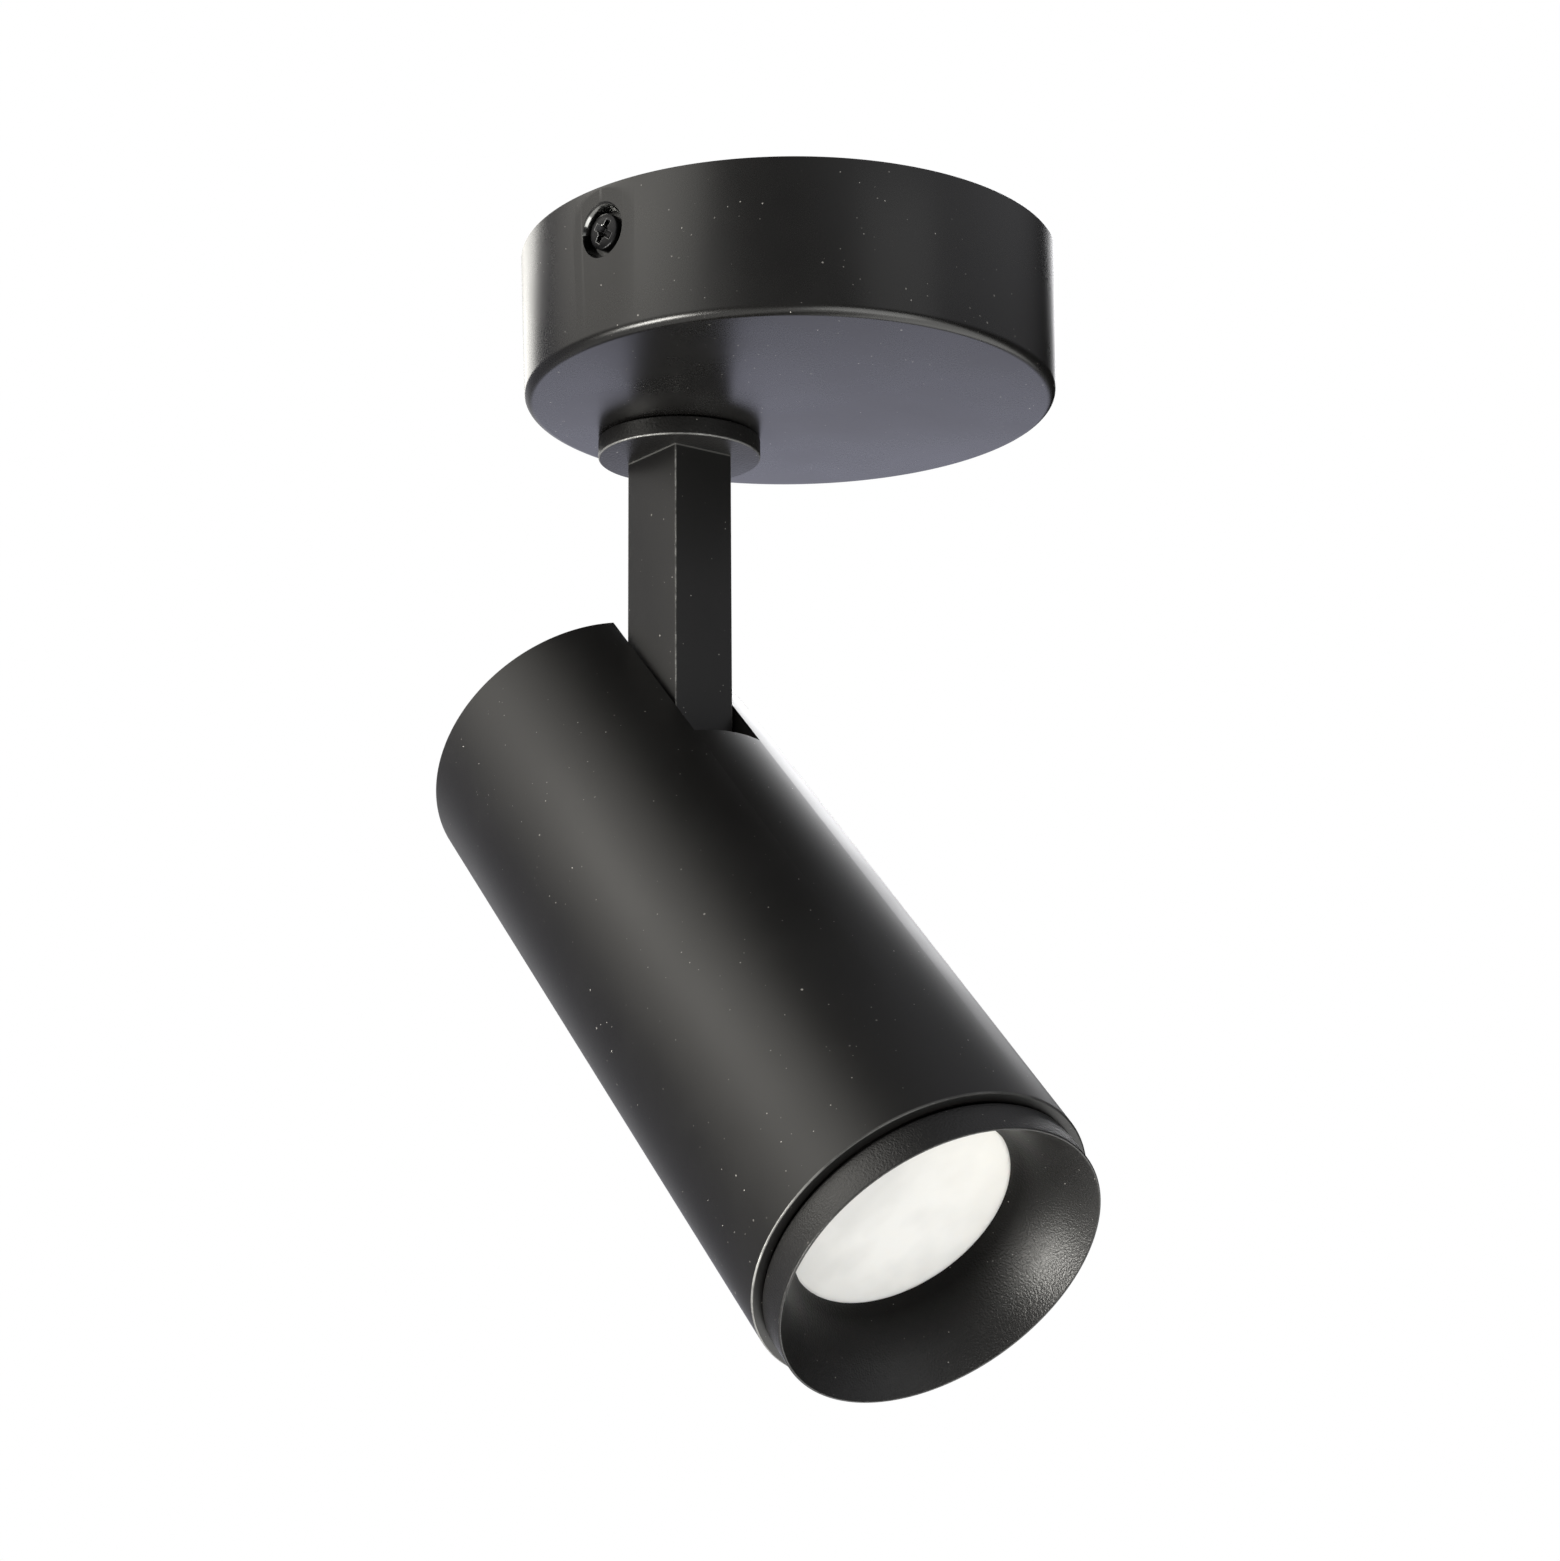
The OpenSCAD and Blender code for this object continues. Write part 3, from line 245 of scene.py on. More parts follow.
    def bump(self, height, depth, edge=None):
        """Bump of `depth` metres from a height of 0 to 1, over edges rounded to a radius of `edge`."""
        made = self.node("Bump")
        made.inputs["Strength"].default_value = 1.0
        made.inputs["Distance"].default_value = depth
        self.join(height, made.inputs["Height"])
        if edge:
            self.join(self.bevel(edge), made.inputs["Normal"])
        self.join(made.outputs["Normal"], self.bsdf.inputs["Normal"])

    def mottle(self, noise, tone, darker, lighter, spread=SPREAD):
        """A tone that a noise makes up to `darker` darker and `lighter` lighter, as shares of 1."""
        low = tuple(c * (1 - darker) for c in tone)
        high = tuple(min(1.0, c * (1 + lighter)) for c in tone)
        return self.mix(self.span(noise, *spread), low, high)

    def unevenness(self, rough, *noises):
        """Roughness that each noise, given with its share and spread, changes up and down."""
        whole = None
        for noise, share, spread in noises:
            if whole is None:
                whole = self.span(noise, *spread, rough - share, rough + share)
            else:
                whole = self.math("ADD", whole, self.span(noise, *spread, -share, share))
        return whole

    def finish(self, shade, rub):
        """Joins a colour and a roughness to the shader."""
        self.join(shade, self.bsdf.inputs["Base Color"])
        self.join(rub, self.bsdf.inputs["Roughness"])


COAT_TONE = (0.0065, 0.0062, 0.006)
COAT_MOTTLE = 0.1
COAT_CLOUD = 11 * MM
COAT_SMUDGE = 26 * MM
CLOUD_RUB = 0.012
SMUDGE_RUB = 0.015
GRAIN_RUB = 0.01
DUST = (0.55, 0.53, 0.50)
# Where dust gathers: size of the patches, their spread, and the least share that lies elsewhere
DUST_PATCH = 17 * MM
DUST_SPREAD = (0.35, 0.6)
DUST_LEAST = 0.25
# Spacing, radius and share of the dust specks
SPECKS = ((4.2 * MM, 0.24 * MM, 0.6), (1.9 * MM, 0.14 * MM, 0.8))


def powder_coat(name, rough, grain=0.42 * MM, deep=0.005 * MM, edge=None, feature=None):
    """Fine-grained black powder coat with a little dust on it."""
    paint = Paint(name)
    cloud = paint.noise(COAT_CLOUD, 3.0)
    smudge = paint.noise(COAT_SMUDGE, 2.0, 0.4)
    fine = paint.noise(grain, 1.5, 0.55)
    shade = paint.mottle(cloud, COAT_TONE, COAT_MOTTLE, COAT_MOTTLE, CONTRAST)
    rub = paint.unevenness(
        rough, (cloud, CLOUD_RUB, SPREAD), (smudge, SMUDGE_RUB, CONTRAST), (fine, GRAIN_RUB, SPREAD)
    )
    if feature:
        shade, rub = feature(paint, shade, rub)
    gather = paint.span(paint.noise(DUST_PATCH, 1.0), *DUST_SPREAD, DUST_LEAST, 1.0)
    for spacing, radius, share in SPECKS:
        shade = paint.mix(paint.product(paint.specks(spacing, radius, share), gather), shade, DUST)
    paint.finish(shade, rub)
    paint.bump(fine, deep, edge)
    return paint.mat


RECESS_TONE = (0.24, 0.24, 0.235)
RECESS_POLISH = 0.12
# How far inside the mouth and above the seat the bare metal begins and is full
RECESS_INSET = (0.12 * MM, 0.06 * MM)
RECESS_ABOVE = (0.1 * MM, 0.15 * MM)


def turned_recess(paint, shade, rub):
    """The cones round the side screws, smoother and shinier than the rest."""
    origin = Vector((0, 0, -SIDE_SCREW_DROP))
    ring = paint.off_axis((0, 1, 0), origin)
    depth = paint.math("ABSOLUTE", paint.along((0, 1, 0), origin), 0)
    inside = paint.product(
        paint.span(ring, *(RECESS_MOUTH_R - inset for inset in RECESS_INSET), 1.0, 0.0),
        paint.span(depth, *(SIDE_SCREW_SEAT + above for above in RECESS_ABOVE)),
    )
    paint.join(inside, paint.bsdf.inputs["Metallic"])
    rub = paint.math("SUBTRACT", rub, paint.product(inside, RECESS_POLISH))
    return paint.mix(inside, shade, RECESS_TONE), rub


RIM_TONE = (0.42, 0.42, 0.41)
RIM_METAL = 0.8
# Width of the line, rubbed and with a painted highlight on it, on the face's side and on its rim
RIM_WIDE = 0.25 * MM
RIM_IN = 0.28 * MM
# How far round the face the painted highlight grows toward its side, as a share of the radius
HIGHLIGHT_SIDE_SHARE = 0.8
RIM_PATCH = 6 * MM
RIM_PATCHES = (0.38, 0.62, 0.35, 1.0)


def rim_wear_and_highlight(axis, origin, radius, side, least, most):
    """The outer edge of a round face, rubbed thin along a line, with a painted highlight that makes it brightest on
    one side.
    """

    def feature(paint, shade, rub):
        edge = radius - RIM_IN
        line = paint.product(
            paint.span(paint.along(axis, origin), RIM_WIDE, RIM_WIDE + FADE, 1.0, 0.0),
            paint.span(paint.off_axis(axis, origin), edge, edge + FADE),
        )
        patches = paint.span(paint.noise(RIM_PATCH, 4.0, 0.7), *RIM_PATCHES)
        # Painted highlight: the line is strongest toward `side`, where the edge is seen lit
        share = paint.span(paint.along(side, origin), 0.0, HIGHLIGHT_SIDE_SHARE * radius, least, most)
        bare_and_highlight = paint.product(line, patches, share)
        paint.join(paint.product(bare_and_highlight, RIM_METAL), paint.bsdf.inputs["Metallic"])
        return paint.mix(bare_and_highlight, shade, RIM_TONE), rub

    return feature


# Depths in the bezel's cone between which its gloss fades and its roughness grows, and by how much
GLOSS_DEPTHS = (5 * MM, 12 * MM)
GLOSS_FADES = (0.6, 0.1)
DULL_DEPTHS = (3 * MM, 11 * MM)
DULL_GAIN = 0.12


def dull_throat(paint, shade, rub):
    """The bezel's cone, duller toward the lens."""
    depth = paint.along(BACKWARD, TUBE_MOUTH - BACKWARD * BEZEL_OUT)
    gloss = paint.span(depth, *GLOSS_DEPTHS, *GLOSS_FADES)
    paint.join(gloss, paint.bsdf.inputs["Specular IOR Level"])
    return shade, paint.math("ADD", rub, paint.span(depth, *DULL_DEPTHS, 0.0, DULL_GAIN))


BARE_AND_HIGHLIGHT_TONE = (0.30, 0.30, 0.29)
BARE_AND_HIGHLIGHT_METAL = 0.5
# Width of the rubbed lines along the bar, and the painted highlight along its seam under the collar
LINE_WIDE = 0.26 * MM
SEAM_HIGHLIGHT_WIDE = 0.25 * MM
SEAM_HIGHLIGHT_SHARE = 0.3
LINE_PATCH = 2.2 * MM
LINE_PATCHES = (0.42, 0.7, 0.15, 1.0)


def bar_wear_and_seam_highlight(paint, shade, rub):
    """The four long edges of the bar, rubbed here and there, and a painted highlight along its seam with the
    collar.
    """
    turn = ARM.to_3x3()
    lines = []
    for way, half in ((Vector((1, 0, 0)), BAR_W / 2), (Vector((0, 1, 0)), BAR_T / 2)):
        far = paint.math("ABSOLUTE", paint.along(turn @ way, SWIVEL), 0)
        lines.append(paint.span(far, half - LINE_WIDE, half - LINE_WIDE + FADE))
    patches = paint.span(paint.noise(LINE_PATCH, 4.0, 0.75), *LINE_PATCHES)
    # Painted highlight: a bright band on the bar just under the collar
    joint = paint.along(UP, SWIVEL - UP * (CANOPY_H + COLLAR_H))
    seam_highlight = paint.span(joint, -SEAM_HIGHLIGHT_WIDE - FADE, -SEAM_HIGHLIGHT_WIDE, 0.0, SEAM_HIGHLIGHT_SHARE)
    bare_and_highlight = paint.math("MAXIMUM", paint.product(*lines, patches), seam_highlight)
    paint.join(paint.product(bare_and_highlight, BARE_AND_HIGHLIGHT_METAL), paint.bsdf.inputs["Metallic"])
    return paint.mix(bare_and_highlight, shade, BARE_AND_HIGHLIGHT_TONE), rub


METAL_CLOUD = 4 * MM
METAL_GRAIN = 0.3 * MM
METAL_DEPTH = 0.003 * MM
METAL_MOTTLE = 0.12
METAL_CLOUD_RUB = 0.05
METAL_GRAIN_RUB = 0.07


def metal(name, tone, rough, edge=0.12 * MM, stretch=None, edge_wear_and_glint=0.0):
    """Plated or turned metal with fine marks, and if need be its edges brighter: rubbed plating there that also
    gives painted glints.
    """
    paint = Paint(name)
    cloud = paint.noise(METAL_CLOUD, 3.0)
    fine = paint.noise(METAL_GRAIN, 3.0, 0.6, stretch)
    shade = paint.mottle(cloud, tone, METAL_MOTTLE, METAL_MOTTLE)
    if edge_wear_and_glint:
        # Brighter edges: rubbed plating, and painted glints along them
        shade = paint.mix(paint.edges(edge), shade, (edge_wear_and_glint, edge_wear_and_glint, edge_wear_and_glint))
    paint.finish(
        shade, paint.unevenness(rough, (cloud, METAL_CLOUD_RUB, SPREAD), (fine, METAL_GRAIN_RUB, SPREAD))
    )
    paint.bump(fine, METAL_DEPTH, edge)
    paint.set(Metallic=1.0)
    return paint.mat


MOULD_CLOUD = 7 * MM
MOULD_GRAIN = 0.4 * MM
MOULD_DEPTH = 0.006 * MM
MOULD_EDGE = 0.25 * MM
MOULD_DARKER = 0.08
MOULD_LIGHTER = 0.05
MOULD_CLOUD_RUB = 0.04
MOULD_GRAIN_RUB = 0.05
# How far light of each colour travels inside pale plastic, in millimetres
BLEED = (1.2, 1.1, 1.0)


def moulded(name, tone, rough, bleed=0.0):
    """Moulded plastic or rubber with a fine eroded texture, into which some light goes if need be."""
    paint = Paint(name)
    cloud = paint.noise(MOULD_CLOUD, 2.0)
    fine = paint.noise(MOULD_GRAIN, 2.0, 0.6)
    paint.finish(
        paint.mottle(cloud, tone, MOULD_DARKER, MOULD_LIGHTER),
        paint.unevenness(rough, (cloud, MOULD_CLOUD_RUB, SPREAD), (fine, MOULD_GRAIN_RUB, SPREAD)),
    )
    paint.bump(fine, MOULD_DEPTH, MOULD_EDGE)
    if bleed:
        paint.set(Subsurface_Weight=bleed, Subsurface_Radius=BLEED, Subsurface_Scale=MM)
    return paint.mat


# Painted shade on the lens: where the reflector's shadowed mouth shows through it and how wide its soft edge is,
# and how far the painted shade reaches up the lens, with the strengths of mouth, flow marks and reach
MOUTH_DOWN = 7 * MM
MOUTH_RIGHT = 3 * MM
MOUTH_EDGE = (14 * MM, 18 * MM)
FLOW_SIZE = 8 * MM
FLOW_SPREAD = (0.4, 0.62)
LENS_SHADE_REACH = (-12 * MM, 10 * MM)
LENS_SHADE_STRENGTHS = (0.25, 0.25, 0.7)
LENS_SHADE_SHARE = 0.74
# The warmer side of the lens: its reach to the right, its strength and its tone as shares
CREAM_REACH = (2 * MM, 20 * MM)
CREAM_STRENGTH = 0.7
CREAM_SHARES = (1.0, 0.985, 0.95)
OPAL_GRAIN = 0.3 * MM
OPAL_DEPTH = 0.001 * MM
OPAL_ROUGH = (0.38, 0.46)
OPAL_BLEED = 0.3


def opal(name, tone):
    """Frosted plastic with painted shade: darker outside the soft edge of the reflector's mouth behind it, and
    toward its top.
    """
    paint = Paint(name)
    # Painted shade: the lens is darker outside a soft circle round the reflector's mouth behind it
    mouth = paint.off_axis(BACKWARD, TUBE_MOUTH - UPWARD * MOUTH_DOWN + RIGHTWARD * MOUTH_RIGHT)
    flow = paint.noise(FLOW_SIZE, 2.0, 0.4)
    # Painted shade growing toward the lens's top as the camera sees it
    rise = paint.along(UPWARD, TUBE_MOUTH)
    parts = ((mouth, MOUTH_EDGE), (flow, FLOW_SPREAD), (rise, LENS_SHADE_REACH))
    lens_shades = [
        paint.span(value, *reach, 0.0, strength) for (value, reach), strength in zip(parts, LENS_SHADE_STRENGTHS)
    ]
    lens_shade = paint.math("ADD", paint.math("ADD", lens_shades[0], lens_shades[1]), lens_shades[2])
    # The lens's tone darkened by the painted shade
    shade = paint.mix(lens_shade, tone, tuple(c * LENS_SHADE_SHARE for c in tone))
    cream = paint.span(paint.along(RIGHTWARD, TUBE_MOUTH), *CREAM_REACH, 0.0, CREAM_STRENGTH)
    shade = paint.mix(cream, shade, tuple(c * share for c, share in zip(tone, CREAM_SHARES)))
    fine = paint.noise(OPAL_GRAIN, 2.0, 0.6)
    paint.finish(shade, paint.span(fine, *SPREAD, *OPAL_ROUGH))
    paint.bump(fine, OPAL_DEPTH)
    paint.set(Subsurface_Weight=OPAL_BLEED, Subsurface_Radius=BLEED, Subsurface_Scale=MM)
    return paint.mat


def wear(names, mat):
    """Gives CAD nodes their material."""
    for name in names:
        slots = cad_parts[name].data.materials
        slots.clear()
        slots.append(mat)


COAT = powder_coat("black_coat", 0.40, edge=0.2 * MM)
CANOPY_COAT = powder_coat("black_coat_canopy", 0.28, feature=turned_recess)
# The collar's lower edge: a rubbed line with a painted highlight, brightest toward azimuth -20, on the left as the
# camera sees it
COLLAR_COAT = powder_coat(
    "black_coat_collar",
    0.40,
    grain=0.5 * MM,
    deep=0.1 * MM,
    feature=rim_wear_and_highlight(UP, SWIVEL - UP * (CANOPY_H + COLLAR_H), COLLAR_R, toward(-20, 0), 0.25, 0.8),
)
BAR_COAT = powder_coat("black_coat_bar", 0.40, edge=0.15 * MM, feature=bar_wear_and_seam_highlight)
# The tube's front edge: a rubbed line with a painted highlight, brightest on its left as the camera sees it
TUBE_COAT = powder_coat(
    "black_coat_tube",
    0.41,
    deep=0.003 * MM,
    feature=rim_wear_and_highlight(BACKWARD, TUBE_MOUTH, TUBE_R, -RIGHTWARD, 0.15, 1.0),
)
SATIN = powder_coat("black_satin_coat", 0.38, grain=0.36 * MM, deep=0.1 * MM, feature=dull_throat)
# The black zinc screws get brighter edges: rubbed plating and painted glints
BLACK_ZINC = metal("black_zinc", (0.02, 0.02, 0.021), 0.3, edge=0.15 * MM, edge_wear_and_glint=0.6)
ZINC = metal("zinc_steel", (0.60, 0.61, 0.62), 0.32)
BRASS = metal("brass", (0.72, 0.52, 0.24), 0.3)
ALUMINIUM = metal("bare_aluminium", (0.76, 0.77, 0.78), 0.36, stretch=(1, 1, 0.15))
BRIGHT = metal("bright_aluminium", (0.9, 0.9, 0.91), 0.12)
BLACK_PLASTIC = moulded("black_plastic", (0.02, 0.02, 0.021), 0.55)
BOARD = moulded("circuit_board", (0.02, 0.13, 0.05), 0.35)
NYLON = moulded("white_nylon", (0.78, 0.76, 0.70), 0.45, bleed=0.2)
SHEATH = moulded("lead_sheath", (0.62, 0.62, 0.60), 0.5)
BROWN = moulded("brown_sheath", (0.20, 0.075, 0.03), 0.45)
BLUE = moulded("blue_sheath", (0.03, 0.12, 0.42), 0.45)
SILICONE = moulded("thermal_silicone", (0.55, 0.36, 0.44), 0.7)
PHOSPHOR = moulded("phosphor", (0.85, 0.62, 0.12), 0.6)
RUBBER = moulded("black_rubber", (0.02, 0.02, 0.02), 0.75)
OPAL = opal("frosted_lens", (0.88, 0.875, 0.86))

wear(("canopy", "swivel_collar", "arm", "head_tube", "rear_cap"), COAT)
wear(("bezel",), SATIN)
wear(("canopy_screws", "rear_cap_screws"), BLACK_ZINC)
wear(("mounting_bracket", "bracket_nuts", "floor_screws", "led_holder_screws"), ZINC)
wear(("swivel_stop_pin", "swivel_nipple", "stop_washer", "disc_spring", "swivel_nut"), ZINC)
wear(("pivot_screw", "hinge_bracket", "hinge_bracket_screws"), ZINC)
wear(("earth_screw", "terminal_screws", "pivot_bush"), BRASS)
wear(("heat_sink", "led_board"), ALUMINIUM)
wear(("reflector",), BRIGHT)
wear(("driver_case", "driver_lid"), BLACK_PLASTIC)
wear(("driver_board",), BOARD)
wear(("terminal_block", "collar_washer", "inner_washer", "hinge_washers", "led_holder"), NYLON)
wear(("canopy_lead", "arm_lead", "head_lead"), SHEATH)
wear(("supply_leads",), BROWN)
wear(("thermal_pad",), SILICONE)
wear(("led_emitter",), PHOSPHOR)
wear(("lens_gasket",), RUBBER)
wear(("lens",), OPAL)

# ---------------------------------------------------------------- pieces

OVER = 1 * MM
FIT = 0.05 * MM
ROUND_STEPS = 360


def polar(radius, turn, height):
    return Vector((radius * math.cos(turn), radius * math.sin(turn), height))


def point(height):
    """Ring of one point on the Z axis, which closes an end of a skin."""
    return [Vector((0, 0, height))]


def circle(radius, height, steps):
    return [polar(radius, TURN * i / steps, height) for i in range(steps)]


def rounded(wide, long, radius, height, corner=8):
    """Rectangle about the Z axis with rounded corners, as a ring of points."""
    ring = []
    for quarter in range(4):
        x = (wide / 2 - radius) * (1, -1, -1, 1)[quarter]
        y = (long / 2 - radius) * (1, 1, -1, -1)[quarter]
        for i in range(corner + 1):
            ring.append(Vector((x, y, 0)) + polar(radius, TURN / 4 * (quarter + i / corner), height))
    return ring


def skin(rings, closed=False):
    """Shell through rings of points. A ring of one point closes an end."""
    bm = bmesh.new()
    rows = [[bm.verts.new(point) for point in ring] for ring in rings]
    pairs = list(zip(rows, rows[1:]))
    if closed:
        pairs.append((rows[-1], rows[0]))
    for low, high in pairs:
        count = max(len(low), len(high))
        for i in range(count):
            j = (i + 1) % count
            corners = []
            for vert in (low[i % len(low)], low[j % len(low)], high[j % len(high)], high[i % len(high)]):
                if vert not in corners:
                    corners.append(vert)
            bm.faces.new(corners)
    bmesh.ops.recalc_face_normals(bm, faces=bm.faces)
    return bm


def lathe(profile, steps=64):
    """Solid of revolution about Z through (radius, height) points. A radius of 0 closes an end."""
    rings = [circle(r, z, steps) if r > 0 else point(z) for r, z in profile]
    return skin(rings, closed=profile[0][0] > 0)


def block(wide, long, low, high, foot=1.0):
    """Block about the Z axis, drawn in at its lower end to `foot` of its size."""
    rings = [point(low)]
    for share, z in ((foot, low), (1.0, high)):
        x = wide / 2 * share
        y = long / 2 * share
        rings.append([Vector((x, y, z)), Vector((-x, y, z)), Vector((-x, -y, z)), Vector((x, -y, z))])
    rings.append(point(high))
    return skin(rings)


# Depth of a thread as a share of its pitch, and how much of its flank the flat crest and root take
THREAD_DEPTH_SHARE = 0.61
THREAD_FLAT_SHARE = 0.1


def thread(radius, pitch, low, high, steps=40, rows=8):
    """Threaded rod along Z whose ends are drawn in to the root of the thread."""
    deep = THREAD_DEPTH_SHARE * pitch
    count = round((high - low) / pitch * rows)
    rings = [point(low)]
    for k in range(count + 1):
        z = low + (high - low) * k / count
        reach = radius - deep + min(z - low, high - z)
        ring = []
        for i in range(steps):
            wave = abs(2 * ((z / pitch - i / steps) % 1) - 1)
            flank = (wave - THREAD_FLAT_SHARE) / (1 - 2 * THREAD_FLAT_SHARE)
            r = min(reach, radius - deep * min(1.0, max(0.0, flank)))
            ring.append(polar(r, TURN * i / steps, z))
        rings.append(ring)
    rings.append(point(high))
    return skin(rings)


def placed(bm, place):
    bmesh.ops.transform(bm, matrix=place, verts=bm.verts)
    return bm


def merge(*parts):
    """All the shells in one mesh."""
    whole = bmesh.new()
    for part in parts:
        mesh = bpy.data.meshes.new("part")
        part.to_mesh(mesh)
        part.free()
        whole.from_mesh(mesh)
        bpy.data.meshes.remove(mesh)
    return whole


def carve(solid, tools, kind="DIFFERENCE"):
    """The solid with each tool cut out of it, or what it has in common with them."""
    made = []
    for bm in (solid, *tools):
        mesh = bpy.data.meshes.new("carving")
        bm.to_mesh(mesh)
        bm.free()
        made.append(bpy.data.objects.new("carving", mesh))
        bpy.context.scene.collection.objects.link(made[-1])
    for tool in made[1:]:
        cut = made[0].modifiers.new("cut", "BOOLEAN")
        cut.operation = kind
        cut.solver = "EXACT"
        cut.object = tool
    result = bmesh.new()
    result.from_mesh(made[0].evaluated_get(bpy.context.evaluated_depsgraph_get()).to_mesh())
    for obj in made:
        bpy.data.objects.remove(obj)
    return result


def piece(name, bm, place, mat, body, slot, *stands_for, soft=35):
    """Sets a piece in its place on a body, with its edges sharper than `soft` degrees kept sharp."""
    mesh = bpy.data.meshes.new(name)
    for face in bm.faces:
        face.smooth = True
    for side in bm.edges:
        side.smooth = side.is_manifold and side.calc_face_angle(0) < math.radians(soft)
    bm.to_mesh(mesh)
    bm.free()
    mesh.transform(place)
    mesh.materials.append(mat)
    made = bpy.data.objects.new(name, mesh)
    bpy.context.scene.collection.objects.link(made)
    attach(made, body)
    if stands_for:
        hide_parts(*stands_for)
    return made


# Cross recess, as shares of the head's diameter: its depth, its wings and the cone in its middle
CROSS_DEEP_SHARE = 0.26
CROSS_LONG_SHARE = 0.72
CROSS_WIDE_SHARE = 0.2
CROSS_FOOT_SHARE = 0.6
HEART_FOOT_SHARE = 0.1
HEART_TIP_SHARE = 1.25
# Overrun of the tools that cut screws and nuts
TOOL_OVER = 0.1 * MM


def cross(head_d, top):
    """Tools that cut a cross recess in a head whose top is at `top`."""
    deep = CROSS_DEEP_SHARE * head_d
    wide = CROSS_WIDE_SHARE * head_d
    over = top + TOOL_OVER
    wings = [
        placed(
            block(CROSS_LONG_SHARE * head_d, wide, top - deep, over, CROSS_FOOT_SHARE),
            Matrix.Rotation(turn, 4, "Z"),
        )
        for turn in (TURN / 8, -TURN / 8)
    ]
    tip = top - HEART_TIP_SHARE * deep
    heart = [(0, tip), (HEART_FOOT_SHARE * head_d, top - deep), (wide, over), (0, over)]
    return [*wings, lathe(heart, 16)]


# Outlines of the heads, as shares of a head's radius and height
PAN_SHARES = ((0, 0), (0.94, 0), (1, 0.1), (1, 0.42), (0.97, 0.6), (0.88, 0.79), (0.74, 0.91), (0.55, 0.97), (0, 1))
CHEESE_SHARES = ((0, 0), (0.96, 0), (1, 0.06), (1, 0.84), (0.985, 0.9), (0.95, 0.94), (0.6, 0.98), (0, 1))


# How far a screw's shank goes up into its head, and the land of a countersunk head, as shares of the head
SHANK_IN_SHARE = 0.1
LAND_SHARE = 0.12


def pan_screw(d, long, head_d, head_h, pitch, shares=PAN_SHARES):
    """Screw whose pan or cheese head bears on z = 0."""
    r = head_d / 2
    head = carve(lathe([(r * x, head_h * y) for x, y in shares]), cross(head_d, head_h))
    return merge(head, thread(d / 2, pitch, -long, SHANK_IN_SHARE * head_h))


def flat_screw(d, long, head_d, head_h, pitch):
    """Countersunk screw whose head ends flush at z = 0."""
    land = LAND_SHARE * head_h
    head = lathe([(0, -head_h), (d / 2, -head_h), (head_d / 2, -land), (head_d / 2 - land / 2, 0), (0, 0)])
    return merge(carve(head, cross(head_d, 0)), thread(d / 2, pitch, -long, (SHANK_IN_SHARE - 1) * head_h))


# A nut's bearing face and the countersink of its hole, as shares of its width and of its hole
NUT_FACE_SHARE = 0.47
LEAD_IN_SHARE = 0.08


def hex_nut(side, tall, bore):
    """Hexagon nut on z = 0 with its corners turned down and its hole countersunk."""
    corner = side / 2 / math.cos(TURN / 12)
    face = NUT_FACE_SHARE * side
    drop = (corner - face) * math.tan(TURN / 12)
    r = bore / 2
    lead_in = LEAD_IN_SHARE * bore
    over = TOOL_OVER
    wide = r + lead_in + over
    prism = skin([point(0), circle(corner, 0, 6), circle(corner, tall, 6), point(tall)])
    turned = [(face, 0), (corner + over, drop), (corner + over, tall - drop), (face, tall)]
    hole = [(wide, -over), (r, lead_in), (r, tall - lead_in), (wide, tall + over)]
    turned, hole = (lathe([(0, -over), *profile, (0, tall + over)]) for profile in (turned, hole))
    return carve(carve(prism, [turned], "INTERSECT"), [hole])


SHEATH_END_SHARE = 0.85


def sweep(path, radius, steps=20):
    """Round sheath along a path, with rounded ends."""
    rings = [[path[0]]]
    last = len(path) - 1
    for i, place in enumerate(path):
        way = (path[min(i + 1, last)] - path[max(i - 1, 0)]).normalized()
        turn = way.to_track_quat("Z", "Y").to_matrix()
        r = radius * (SHEATH_END_SHARE if i in (0, last) else 1.0)
        rings.append([place + turn @ spot for spot in circle(r, 0, steps)])
    rings.append([path[-1]])
    return skin(rings)


def arc(radius, height, bend, start, stop, steps=6):
    """Points round (radius, height) in a profile, from one angle to another in degrees."""
    turns = [math.radians(start + (stop - start) * i / steps) for i in range(steps + 1)]
    return [(radius + bend * math.cos(turn), height + bend * math.sin(turn)) for turn in turns]


def rod(radius, low, high, steps=48):
    """Plain cylinder about Z."""
    return lathe([(0, low), (radius, low), (radius, high), (0, high)], steps)


def box(wide, long, low, high, at=(0, 0)):
    return placed(block(wide, long, low, high), Matrix.Translation((*at, 0)))


# Canopy: turned shell with bosses behind the side screws and posts on its floor
AT_SIDE = [
    Matrix.Translation((0, side * SIDE_SCREW_SEAT, -SIDE_SCREW_DROP))
    @ Matrix.Rotation(-side * TURN / 4, 4, "X")
    for side in (-1, 1)
]
